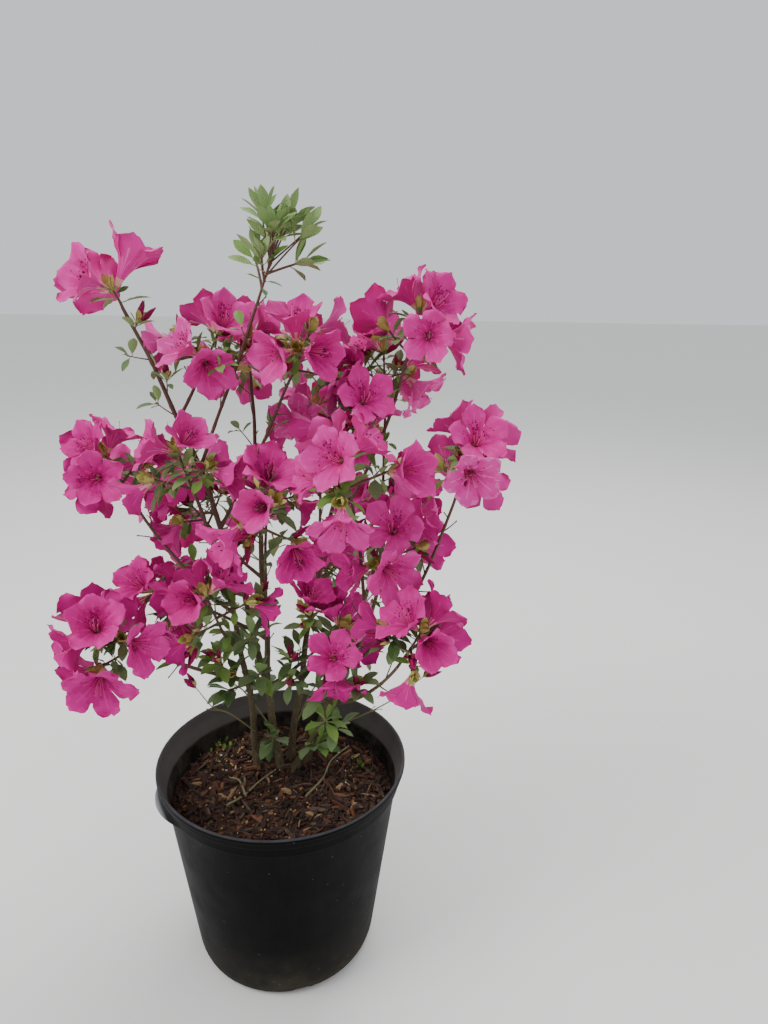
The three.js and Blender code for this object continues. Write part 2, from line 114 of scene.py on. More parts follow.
# Each shoot's stem, where on it the shoot's limb starts, and its bearing, reach and height.
SHOOTS = {
    "left_middle": ("left", 1, 172, 95, 575),
    "left_inner": ("left", 0.46, 186, 70, 428),
    "left_outer": ("left", 0.6, 162, 194, 560),
    "left_high": ("middle", 0.78, 138, 98, 690),
    "left_top": ("middle", 1, 164, 177, 763),
    "left_low": ("middle", 0.2, 200, 168, 415),
    "front_low": ("middle", 0.2, 356, 56, 395),
    "front_middle": ("middle", 0.46, 271, 56, 549),
    "high_middle": ("middle", 0.56, 62, 56, 695),
    "leafy_top": ("middle", 0.68, 79, 32, 797),
    "right_middle": ("right", 1, 354, 119, 500),
    "right_low": ("right", 0.4, 330, 165, 430),
    "right_outer": ("right", 0.6, 2, 195, 585),
    "front_right": ("right", 0.75, 315, 112, 592),
    "upright_high": ("upright", 1, 26, 90, 622),
    "right_high": ("upright", 0.78, 20, 149, 715),
    "back_middle": ("upright", 0.6, 79, 153, 600),
    "back_high": ("back_left", 1, 108, 147, 680),
    "back_left": ("back_left", 0.5, 135, 160, 500),
    "back_left_low": ("back_left", 0.34, 150, 165, 400),
    "back_outer": ("back_left", 0.42, 102, 178, 500),
    "back_right": ("back_right", 1, 40, 165, 520),
    "back_right_low": ("back_right", 0.4, 70, 170, 410),
    "back_right_high": ("back_right", 0.7, 51, 174, 665),
}
# The shoot without blossoms, and the one that bears a single truss.
LEAFY_SHOOTS = ("leafy_top",)
LONE_SHOOTS = ("left_top",)

# Each low tuft's stem, where on it the tuft starts, its bearing and lift, and its twig's length.
TUFTS = {
    "left": ("left", 0.33, 225, 5, 26),
    "middle": ("middle", 0.24, 265, 15, 24),
    "foot": ("middle", 0.08, 270, 30, 20),
    "inner": ("upright", 0.36, 240, 20, 28),
    "front_right": ("right", 0.16, 310, 35, 22),
    "back": ("back_left", 0.18, 120, 30, 26),
    "back_side": ("back_right", 0.24, 50, 25, 30),
}

# What the finer growth adds. It has a stream of numbers of its own.
FINER_SEED = 41
# Each kind of shape that it needs has a stream of its own too.
STREAMS = {"chips": 1, "bark": 2, "blossom": 3, "bud": 4, "beads": 5, "perlite": 6, "moss": 7}
GOLDEN = 137.5
# A twig's rings, how far it bows, and how it tapers to the knob at its tip.
ROD = {"steps": 7, "swings": (0.3, 0.9), "taper": 0.8, "knob": 0.35, "knob_at": 0.97, "knob_reach": 0.06}
# How far a twig's foot reaches back into what bears it.
SUNK = {"leader": 1.3, "side": 0.2, "finer": 0.5, "spray": 0}
SPUR = {"spacing": 26, "first": 0.26, "last": 0.97, "crowding": 0.8, "lengths": (7, 36),
        "leans": (34, 66), "foot": 0.85, "tip": 0.55}
TWIGLET = {"counts": (1, 3), "from": (0.3, 0.62), "lengths": (12, 24), "leans": (30, 58), "foot": 0.95,
           "tip": 0.7}
UPRIGHT = {"count": 7, "lengths": (36, 52), "leans": (8, 36), "foot": 1.0, "tip": 0.8, "from": (30, 54)}
WHIP = {"foot": 1.15, "tip": 0.5, "fork_lean": 28, "buds": 2}
FORK = {"lengths": (13.6, 17), "foot": WHIP["tip"] * 1.3, "tip": WHIP["tip"] * 0.8}
SPRAY = {"foot": 1.0, "tip": 0.75}

# Rings of leaves near a twig's tip: how many, how long, how far they lean out, and how far below the
# tip they stand. A ring without a count gets it where it grows.
RINGS = {
    "young": {"lengths": (24, 33), "leans": (12, 54), "below": (0, 7)},
    "old": {"count": 5, "lengths": (14, 22), "leans": (62, 105), "below": (40, 66)},
    "tuft": {"count": 5, "lengths": (18, 31), "leans": (24, 84), "below": (0, 9)},
    "lone_truss": {"count": 3, "lengths": (16, 24), "leans": (66, 100), "below": (0, 6)},
    "truss": {"counts": (3, 6), "lengths": (15, 29), "leans": (58, 104), "below": (3, 15)},
    "twig_end": {"counts": (2, 6), "lengths": (13, 28), "leans": (30, 82), "below": (0.5, 6)},
    "spray": {"lengths": (23, 33), "leans": (34, 88), "below": (0, 6)},
    "spray_foot": {"count": 2, "lengths": (14, 20), "leans": (60, 90), "below": (10, 20)},
}
# How many young leaves end each of the leafy top's own twigs and each of its upright ones, and how
# large the source's leaves are there.
YOUNG = {"own": 3, "upright": 4, "size": 0.96}
# Cups of bud scales: those round a truss, and those round closed buds.
SCALE = {"count": 9, "lengths": (13, 20), "leans": (14, 34)}
BUD_CUP = {"count": 7, "lengths": (11, 16), "leans": (14, 34)}
# How many of the scales are drying.
DRYING = 0.35
BUD = {"length": 27, "radius": 3.3, "calyx": 3, "sizes": (0.6, 1.05), "leans": (12, 30),
       "lone_lean": 4, "counts": (1, 4), "forms": 4, "rows": 12, "sides": 10, "ridge": 0.13,
       "bows": (-0.8, 0.8), "fullness": (0.75, 1.0), "twists": (1.4, 2.6)}
# How much wider the open blossoms are than the source's cones, and those of a lone truss.
FULLER = {"usual": 1.08, "lone": 1.29}
# How many of the blossoms turn their spotted lobe up.
LOBE_UP = 0.6
# A blossom that the solids had no room for opens only where its mouth is so far from the others', and
# a little smaller. Some of the rest stay buds.
CROWDED = {"blossom": 38, "size": 0.94, "bud_share": 0.5, "bud_sizes": (0.7, 1.1)}
# How often a spur or a fine twig ends in leaves, and how often in buds.
TIPS = {"leafy_spur": 0.5, "low_spur": 0.3, "spur_buds": 0.3, "twiglet_buds": 0.55}
# Spurs are low below the first height, and leaves are fresh above the second.
LOW_SPURS, FRESH_ABOVE = 330, 560
# Thin bare whips, each as given points: the first leans out over the rim at the right.
WHIPS = (
    ((29, 49, 225), (66, 38, 258), (98, 30, 280), (130, 28, 302), (160, 30, 328)),
    ((-37, 33, 250), (-62, 14, 286), (-78, 4, 300), (-92, -8, 332)),
    ((-21, 55, 240), (-58, 72, 282), (-92, 80, 296), (-118, 96, 318)),
    ((6, 47, 240), (28, 80, 280), (58, 104, 296), (74, 128, 326)),
)

# Low leafy sprays: the limb that each springs from and where, its bearing, lift and length, how
# many leaves it ends in, and how many buds.
SPRAYS = (
    ("stem_left", 0.34, 250, 40, 34, 6, 1), ("stem_left", 0.4, 215, 35, 40, 5, 2),
    ("stem_middle", 0.3, 268, 40, 38, 7, 0), ("stem_middle", 0.36, 300, 45, 44, 5, 2),
    ("stem_upright", 0.3, 262, 25, 46, 6, 1), ("stem_upright", 0.36, 320, 40, 52, 6, 2),
    ("stem_right", 0.28, 288, 40, 42, 7, 0), ("stem_right", 0.36, 262, 50, 50, 6, 1),
    ("stem_right", 0.24, 330, 30, 34, 6, 0), ("stem_back_left", 0.26, 160, 35, 44, 6, 1),
    ("stem_back_left", 0.3, 100, 35, 40, 6, 2), ("stem_back_right", 0.3, 90, 30, 42, 6, 1),
    ("stem_back_right", 0.36, 20, 40, 46, 6, 2), ("bough_right_low", 0.3, 280, 55, 34, 6, 2),
    ("bough_left_low", 0.3, 240, 60, 30, 6, 2), ("bough_front_low", 0.5, 290, 60, 26, 5, 2),
)

# The stage, in metres and watts: each light's name, place, size and power.
STAGE_LIGHTS = (
    ("key", (-1.7, -0.9, 2.3), 1.3, 40),
    ("fill", (1.9, -1.1, 1.3), 2.2, 6),
    ("sky", (0.5, 1.2, 2.5), 1.6, 40),
)
STAGE_AIM = (0, 0, 0.42)
# Half the floor's width, and how far off the camera still sees.
FLOOR_HALF, SEEN_TO = 14, 60
# The camera, in millimetres and degrees: where it stood, how far it looks up, and its roll.
CAMERA = {"place": (112, -725, 765), "pitch": -17.55, "roll": 0.88, "sensor": 36}

# Bark, leaves, blossoms and what lies on the mix. A limb's ridges stand in sets: how high each is, how
# many go round, and over how far they turn about the limb. The last set comes and goes along it.
BARK = {"sides": 14, "most_sway": 1.3, "sway_lengths": (21, 29), "scar": 0.2, "scar_length": 2.2,
        "first_scar": (14, 30), "scar_gaps": (24, 42), "collar": 0.4, "buried": 5,
        "ridges": ((0.055, 3, 34), (0.04, 5, -19), (0.03, 8, 5)), "fading": 7}
TWIG_SIDES = 6
BLADE = {"rows": (0, 0.1, 0.28, 0.48, 0.68, 0.86, 1), "columns": (-1, -0.55, 0, 0.55, 1)}
LEAF_FORMS = (
    {"width": 14, "taper": 0.85, "droop": 26, "fold": 15, "wave": 0.5, "stalk": 4, **BLADE},
    {"width": 11.5, "taper": 0.95, "droop": 14, "fold": 13, "wave": 0.35, "stalk": 3, **BLADE},
)
# How far the leaves of each form are rolled at random, and how much of their droop leaves and scales
# have.
LEAF_ROLLS = (0.35, 1.0)
LEAF_BENDS, SCALE_BENDS = (0.6, 1.0, 1.5), (0.7, 1.1)
SCALE_FORM = {"width": 17, "taper": 0.7, "droop": -48, "fold": 24, "wave": 0.4, "stalk": 0,
              "rows": (0, 0.3, 0.62, 0.86, 1), "columns": (-1, 0, 1)}
LEAF_VEINS = 3.4
PETAL = {
    "length": 46.5, "foot": 5, "foot_radius": 1.6, "lean": 8, "stray": 9, "rounding": 0.08,
    "crease": 1.1, "frill": 0.016, "thickness": 0.45, "sizes": (0.95, 1.04), "cycles": (1.9, 3.1),
    "cups": (-1.4, 1.6), "skews": (-0.05, 0.05),
    "rows": (0, 0.15, 0.29, 0.41, 0.51, 0.61, 0.71, 0.8, 0.88, 0.945, 1),
    "columns": (0.07, 0.4, 0.49, 0.76, 1),
    "half_widths": ((0.3, 4.2), (0.42, 6.4), (0.54, 9), (0.66, 11.4), (0.78, 12.6), (0.88, 12.1),
                    (0.945, 9.8), (1, 5.6)),
}
# How a blossom is held: how far its lobes spread, how late they bend, how ruffled and open it is.
FORMS = tuple(
    {"spread": spread, "bend": bend, "ruffle": ruffle, "open": opening}
    for spread, bend, ruffle, opening in (
        (80, 0.95, 2.9, 9), (74, 0.9, 2.4, 8), (88, 1.0, 3.2, 10), (68, 0.85, 3.4, 8),
        (64, 1.0, 2.3, 7), (78, 0.9, 2.7, 9), (58, 1.05, 2.4, 6), (74, 1.1, 3.0, 8),
        (48, 1.15, 2.0, 5),
    )
)
# Where each look begins or ends along a lobe, and how far out on it the edge's look begins.
PAINT = {"tube_to": 0.2, "throat_to": 0.32, "inner_to": 0.6, "blotch_from": 0.3, "blotch_to": 0.56,
         "edge_from": 0.72, "edge_out": 0.6, "rim_from": 0.96}
SPOTS = {"counts": (26, 9, 0, 0, 9), "from": 0.34, "to": 0.66, "lift": 0.22,
         "halves": (0.008, 0.016), "half_breadths": (0.025, 0.05)}
# A stamen's way: how far out it is to the side, how far along and how far out upward, as shares, and
# how far it is lifted there.
STAMEN = {"count": 5, "lengths": (28, 35), "pistil": 40, "fan": 0.62, "foot": 0.46, "tip": 0.34,
          "sides": 3, "anther": (0.62, 1.25, 0.62), "stigma": 0.7,
          "way": ((0.35, 0.52, 0.3, -2.2), (0.8, 0.82, 0.6, -1.6), (1, 1, 0.8, 2))}
# A blossom's parts, each with a look of its own: the first eight are on its lobes.
LOOK = {name: i for i, name in enumerate(
    ("throat", "inner", "blade", "edge", "rib", "back", "back_rib", "blotch_and_shade", "tube", "spot", "filament",
     "anther", "calyx")
)}
PETAL_TINTS = ("#E466B2", "#DE42A2", "#DA3399", "#D32690", "#C91887", "#BA0F7A", "#A00860")
TUBE_TINT, SPOT_TINT = "#DDA897", "#70063E"
# A blossom's own tint is one of the first few, and one tint deeper below each of these heights: painted
# shade on the low blossoms, and painted light on the high ones.
BLOSSOM_TINTS = 3
SHADED_BELOW = (570, 450)
# How many tints deeper than its own each look on its lobes is, from the throat to the blotch. The edge's
# step, one paler than the blade's, is a painted highlight; the blotch's is partly painted shade.
LOBE_STEPS = (2, 2, 1, 0, 0, 1, -1, 3)
# The blossoms' materials after the petal tints: one for each look off the lobes, then two faded ones.
OFF_LOBES = range(len(PETAL_TINTS), len(PETAL_TINTS) + len(LOOK) - len(LOBE_STEPS))
FADED_RED, FADED_ORANGE = OFF_LOBES.stop, OFF_LOBES.stop + 1
# The one blossom that has begun to fade is the nearest to this place, and these are its lobes' looks.
FADED_PLACE = (-103, 62, 509)
FADED_LOBES = (FADED_RED, FADED_RED, 2, 1, FADED_ORANGE, 2, 1, FADED_ORANGE)
BUD_TINTS = ("#A80C5C", "#7C0640", "#8F084C", "#680434")
LEAF_TINTS = ("deep", "grey", "fresh", "bright", "lime")
LEAF_COLOURS = {"deep": "#4C6636", "grey": "#697F50", "fresh": "#6F8F42", "bright": "#8CA667",
                "lime": "#A6BB74"}
CHIP_TINTS = ("#33231C", "#5A3826", "#4A3026", "#85563A", "#64503F", "#A98660")
CHIP_SHARES = (0.26, 0.24, 0.24, 0.09, 0.13, 0.04)
CHIP = {"lengths": (4, 27), "widths": (1.3, 7.5), "thicknesses": (0.8, 2.8), "steep_share": 0.18,
        "steep": 38, "flat": 13, "roll": 14}
# Heaps of beads and crumbs on the mix: each one's place, how far it spreads, and how many it holds.
# The uneven share is how far from round each bead or crumb may be.
PRILLS = {"heaps": ((-65, 45, 26, 70), (40, -40, 90, 30), (-30, -70, 60, 18)), "sizes": (1.2, 1.7),
          "uneven": 0.08}
PERLITE = {"heaps": ((0, 0, 120, 46), (-65, 45, 50, 14)), "sizes": (0.8, 2.1), "uneven": 0.5}
# Where moss and seedlings stand, and the leaves of each.
MOSS = ((-95, 68), (-84, 82), (-78, 66), (60, -88), (88, 40))
SPRIG = {"count": 9, "spread": 6, "leans": (20, 75), "bends": (0.6, 1.4), "sizes": (0.13, 0.3),
         "lift": 0.5}
# Fallen twigs, each as places that it lies over.
FALLEN_TWIG = {"foot": 1.5, "tip": 0.8, "lift": 4.5, "steps": 6, "sides": 7}
FALLEN = (
    ((-58, -38), (-42, -20), (-28, 2), (-12, 23)),
    ((28, -21), (45, 12), (52, 44), (72, 75)),
    ((-40, -22), (-52, 4), (-66, 12)),
)


def mix(a, b, share):
    return a + (b - a) * share


def smooth(low, high, x):
    t = np.clip((np.asarray(x, float) - low) / (high - low), 0, 1)
    return t * t * (3 - 2 * t)


def unit(v):
    return v / np.linalg.norm(v, axis=-1, keepdims=True)


def at_bearing(bearing, reach, height=0.0):
    angle = math.radians(bearing)
    return np.array((reach * math.cos(angle), reach * math.sin(angle), height))


def heading_at(bearing, lift):
    """A heading at a bearing, lifted so many degrees from level."""
    angle = math.radians(lift)
    return at_bearing(bearing, math.cos(angle), math.sin(angle))


def even_turns(count):
    """The angles of so many even steps round a circle."""
    return np.arange(count) * 2 * math.pi / count


def summed(steps):
    """How far along each point is, from 0, where these are the steps between the points."""
    return np.concatenate(([0], np.cumsum(steps)))


# The rule of growth

def seeded(seed):
    """The source's repeatable stream of numbers from 0 to 1."""
    whole = 0xFFFFFFFF
    state = seed

    def draw():
        nonlocal state
        state = (state + 0x6D2B79F5) & whole
        t = ((state ^ (state >> 15)) * (state | 1)) & whole
        t ^= (t + (t ^ (t >> 7)) * (t | 61)) & whole
        return (t ^ (t >> 14)) / (whole + 1)

    return draw


def turn_from_up(heading):
    """The shortest turn that takes +Y to a heading."""
    x, y, z = heading
    cross = np.array(((0, x, 0), (-x, 0, -z), (0, z, 0)), float)
    return np.eye(3) + cross + cross @ cross / (1 + y)


def about_y(angle):
    c, s = math.cos(angle), math.sin(angle)
    return np.array(((c, 0, s), (0, 1, 0), (-s, 0, c)))


def frame_of(turn, place):
    made = np.eye(4)
    made[:3, :3], made[:3, 3] = turn, place
    return made


def frame_at(place, heading, twist):
    return frame_of(turn_from_up(heading) @ about_y(twist), place)


def lean_frame(along, bearing, lean, twist):
    """A frame so far up a twig's own axis, leaning from it at a bearing about it, in degrees."""
    bearing, lean = math.radians(bearing), math.radians(lean)
    across = math.sin(lean)
    heading = (math.sin(bearing) * across, math.cos(lean), math.cos(bearing) * across)
    return frame_at((0, along, 0), heading, twist)


def frame_on(host, along, face, lean, draw):
    """The source's frame on a twig: over one of its three faces, strayed and twisted at random."""
    bearing = (face + 0.5) * 120 + mix(-STRAY, STRAY, draw())
    return host @ lean_frame(along, bearing, lean, 2 * math.pi * draw())


def moved(places, matrix, size=1.0):
    return (places * size) @ matrix[:3, :3].T + matrix[:3, 3]


class Curve:
    """A bend from a start through a pull point to an end, walked by shares of its length."""

    def __init__(self, start, pull, end):
        self.knots = [np.asarray(p, float) for p in (start, pull, end)]
        self.steps = np.linspace(0, 1, 201)
        self.walked = summed(np.linalg.norm(np.diff(self.bend(self.steps), axis=0), axis=1))
        self.length = self.walked[-1]

    def bend(self, t):
        t = np.asarray(t, float)[..., None]
        a, b, c = self.knots
        return (1 - t) ** 2 * a + 2 * (1 - t) * t * b + t * t * c

    def step(self, share):
        return np.interp(np.asarray(share) * self.length, self.walked, self.steps)

    def at(self, share):
        return self.bend(self.step(share))

    def heading(self, share):
        t = np.asarray(self.step(share))[..., None]
        a, b, c = self.knots
        return unit((1 - t) * (b - a) + t * (c - b))


@dataclass
class Limb:
    name: str
    curve: Curve
    foot: float
    tip: float
    flare: float = 0.0

    def radius(self, share):
        flare = self.flare * np.exp(-np.asarray(share) * self.curve.length / STEM["flare_height"])
        return mix(self.foot, self.tip, share) + flare


@dataclass
class Twig:
    matrix: np.ndarray
    length: float
    foot: float
    tip: float = TWIG["tip"]


@dataclass
class Stood:
    """A leaf or blossom on a twig: its frame, its size and whether the solids had room for it."""

    matrix: np.ndarray
    size: float
    stands: bool


@dataclass
class Shoot:
    node: str
    leafy: bool
    leader: Twig
    centre: np.ndarray
    space: float
    kind: dict
    twigs: tuple = ()
    blossoms: tuple = ()
    leaves: tuple = ()


def kind_of(shoot):
    return LEAFY if shoot in LEAFY_SHOOTS else LONE if shoot in LONE_SHOOTS else BLOOMING


def limb_curve(shoot, start, pull, centre):
    end = centre - unit(centre - pull) * kind_of(shoot)["back"]
    return Curve(start, pull, end)


@cache
def limbs():
    """Every stem by its name, and the limb that each shoot grows from."""
    stems, bearers = {}, {}
    for shoot, (stem, start, *place) in SHOOTS.items():
        if start == 1:
            *foot, lean = STEMS[stem]
            foot, centre = np.array((*foot, SOIL["top"] + CLEAR)), at_bearing(*place)
            pull = foot + (centre - foot) * (lean, lean, STEM["rise"])
            curve = limb_curve(shoot, foot, pull, centre)
            stems[stem] = Limb("stem_" + stem, curve, STEM["foot"], STEM["tip"], STEM["flare"])
            bearers[shoot] = stems[stem]
    for shoot, (stem, start, *place) in SHOOTS.items():
        if start == 1:
            continue
        host, centre = stems[stem], at_bearing(*place)
        foot = host.curve.at(start)
        span = np.linalg.norm(centre - foot)
        away = (centre - foot) * (1, 1, 0)
        pull = foot + host.curve.heading(start) * span * BOUGH["bend"] / 2 + away * BOUGH["bend"]
        radius = max(float(host.radius(start)) * BOUGH["share"], BOUGH["least"])
        curve = limb_curve(shoot, foot, pull, centre)
        bearers[shoot] = Limb("bough_" + shoot, curve, radius, BOUGH["tip"])
    return stems, bearers


def all_limbs():
    """Every stem and bough by its node's name, the stems first."""
    stems, bearers = limbs()
    return {limb.name: limb for limb in (*stems.values(), *bearers.values())}


def shoots_to_grow():
    """Every shoot as a bare leader in its place, with its own stream of numbers."""
    stems, bearers = limbs()
    found = []
    for index, (name, (_, _, *place)) in enumerate(SHOOTS.items()):
        draw, limb, leafy = seeded(SEED + index), bearers[name], name in LEAFY_SHOOTS
        axis = limb.curve.heading(1)
        matrix = frame_at(limb.curve.at(1) + axis * CLEAR, axis, 2 * math.pi * draw())
        kind = kind_of(name)
        leader = Twig(matrix, kind["length"], float(limb.radius(1)))
        node = ("leaves_" if leafy else "bloom_") + name
        found.append((Shoot(node, leafy, leader, at_bearing(*place), SHOOT_SPACE, kind), draw))
    for index, (name, (stem, start, bearing, lift, length)) in enumerate(TUFTS.items(), len(SHOOTS)):
        draw, foot = seeded(SEED + index), stems[stem].curve.at(start)
        axis = heading_at(bearing, lift)
        leader = Twig(frame_at(foot, axis, 2 * math.pi * draw()), length, TUFT["foot"])
        centre = foot + axis * length
        found.append((Shoot("leaves_tuft_" + name, True, leader, centre, TUFT["space"], TUFT), draw))
    return found


def node_points(node):
    """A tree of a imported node's corners, in millimetres."""
    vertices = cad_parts[node].data.vertices
    tree = kdtree.KDTree(len(vertices))
    for i, vertex in enumerate(vertices):
        tree.insert(vertex.co / MM, i)
    tree.balance()
    return tree


def matches(tree, matrix, places, least):
    """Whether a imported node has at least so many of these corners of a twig, leaf or blossom."""
    near = 0.05
    return sum(tree.find(p)[2] < near for p in moved(np.array(places, float), matrix)) >= least


def tiers(twig, rule, draw):
    """The source's tiers of leaves or blossoms down a twig from its tip: a frame and a size each."""
    for i in range(rule["count"]):
        lean = mix(*rule["leans"], (i + draw()) / rule["count"])
        matrix = frame_on(twig.matrix, twig.length - rule["below"] - rule["step"] * i, i % 3, lean, draw)
        yield matrix, mix(*PIECE_SIZES, draw())


@cache
def shoots():
    """Every shoot, grown by the source's rule. What had no room there is missing from its solid."""
    grown = []
    turns = np.radians(np.arange(3) * 120)
    ring = np.stack((np.sin(turns), turns * 0, np.cos(turns)), 1)
    tip, foot = ring * TWIG["tip"], ring * TWIG["foot"] + (0, TWIG["point"], 0)
    lobes = np.radians(np.arange(CONE["lobes"]) * 360 / CONE["lobes"])
    mouth = np.stack((np.sin(lobes), lobes * 0, np.cos(lobes)), 1) * CONE["radius"]
    mouth += (0, CONE["length"], 0)
    edge = (LEAF["width"] / 2, LEAF["widest"] * LEAF["length"], 0)
    blade = np.array((edge, edge * np.array((-1, 1, 1)), (0, LEAF["length"], 0)))
    for shoot, draw in shoots_to_grow():
        tree, leader = node_points(shoot.node), shoot.leader
        twigs = [leader]
        kind = shoot.kind
        for i in range(kind["twigs"]):
            lean = mix(*kind["leans"], draw())
            along = kind["first_twig"] + kind["twig_step"] * i
            matrix = frame_on(leader.matrix, along, i % 3, lean, draw)
            side = Twig(matrix, mix(*kind["lengths"], draw()), TWIG["foot"])
            if matches(tree, matrix, np.concatenate((foot, tip + (0, side.length, 0))), 1):
                twigs.append(side)
        shoot.twigs = tuple(twigs)
        if not shoot.leafy:
            shoot.blossoms = tuple(
                Stood(matrix, size, matches(tree, matrix, mouth * size, 2))
                for twig in twigs for matrix, size in tiers(twig, TRUSS, draw)
            )
        shoot.leaves = tuple(
            Stood(matrix, size, matches(tree, matrix, blade * size, 2))
            for twig in twigs for matrix, size in tiers(twig, ROSETTE if shoot.leafy else WHORL, draw)
        )
        grown.append(shoot)
    return grown


# The finer growth

def stream(name, *index):
    """Random numbers of its own for one kind of thing, and for each thing of that kind."""
    return np.random.default_rng((FINER_SEED, STREAMS[name], *index))


@dataclass
class Grown:
    """One leaf, blossom or bud: its frame, its size, its tint, its form and the stem that bears it."""

    matrix: np.ndarray
    size: float
    tint: int = 0
    form: int = 0
    stem: str = ""


def rolled(matrix, turn):
    return matrix @ frame_of(about_y(turn), (0, 0, 0))


def face_up(matrix):
    """A leaf's frame rolled about its own length until the leaf's face is as level as it can be."""
    across, face = matrix[2, 0], matrix[2, 2]
    return rolled(matrix, math.atan2(across, face))


def lobe_up(matrix):
    """A blossom's frame rolled by whole lobes until its spotted lobe is the highest."""
    turns = [2 * math.pi * k / CONE["lobes"] for k in range(CONE["lobes"])]
    heights = [matrix[2, 0] * math.sin(t) + matrix[2, 2] * math.cos(t) for t in turns]
    return rolled(matrix, turns[int(np.argmax(heights))])


def through(points, steps):
    """A smooth line through given points, with so many steps from each to the next."""
    points = np.array(points, float)
    ends = np.concatenate((2 * points[:1] - points[1:2], points, 2 * points[-1:] - points[-2:-1]))
    t = np.linspace(0, 1, steps, endpoint=False)[:, None]
    spans = [
        0.5 * (2 * b + (c - a) * t + (2 * a - 5 * b + 4 * c - d) * t**2 + (3 * b - a - 3 * c + d) * t**3)
        for a, b, c, d in zip(ends, ends[1:], ends[2:], ends[3:])
    ]
    return np.concatenate((*spans, points[-1:]))


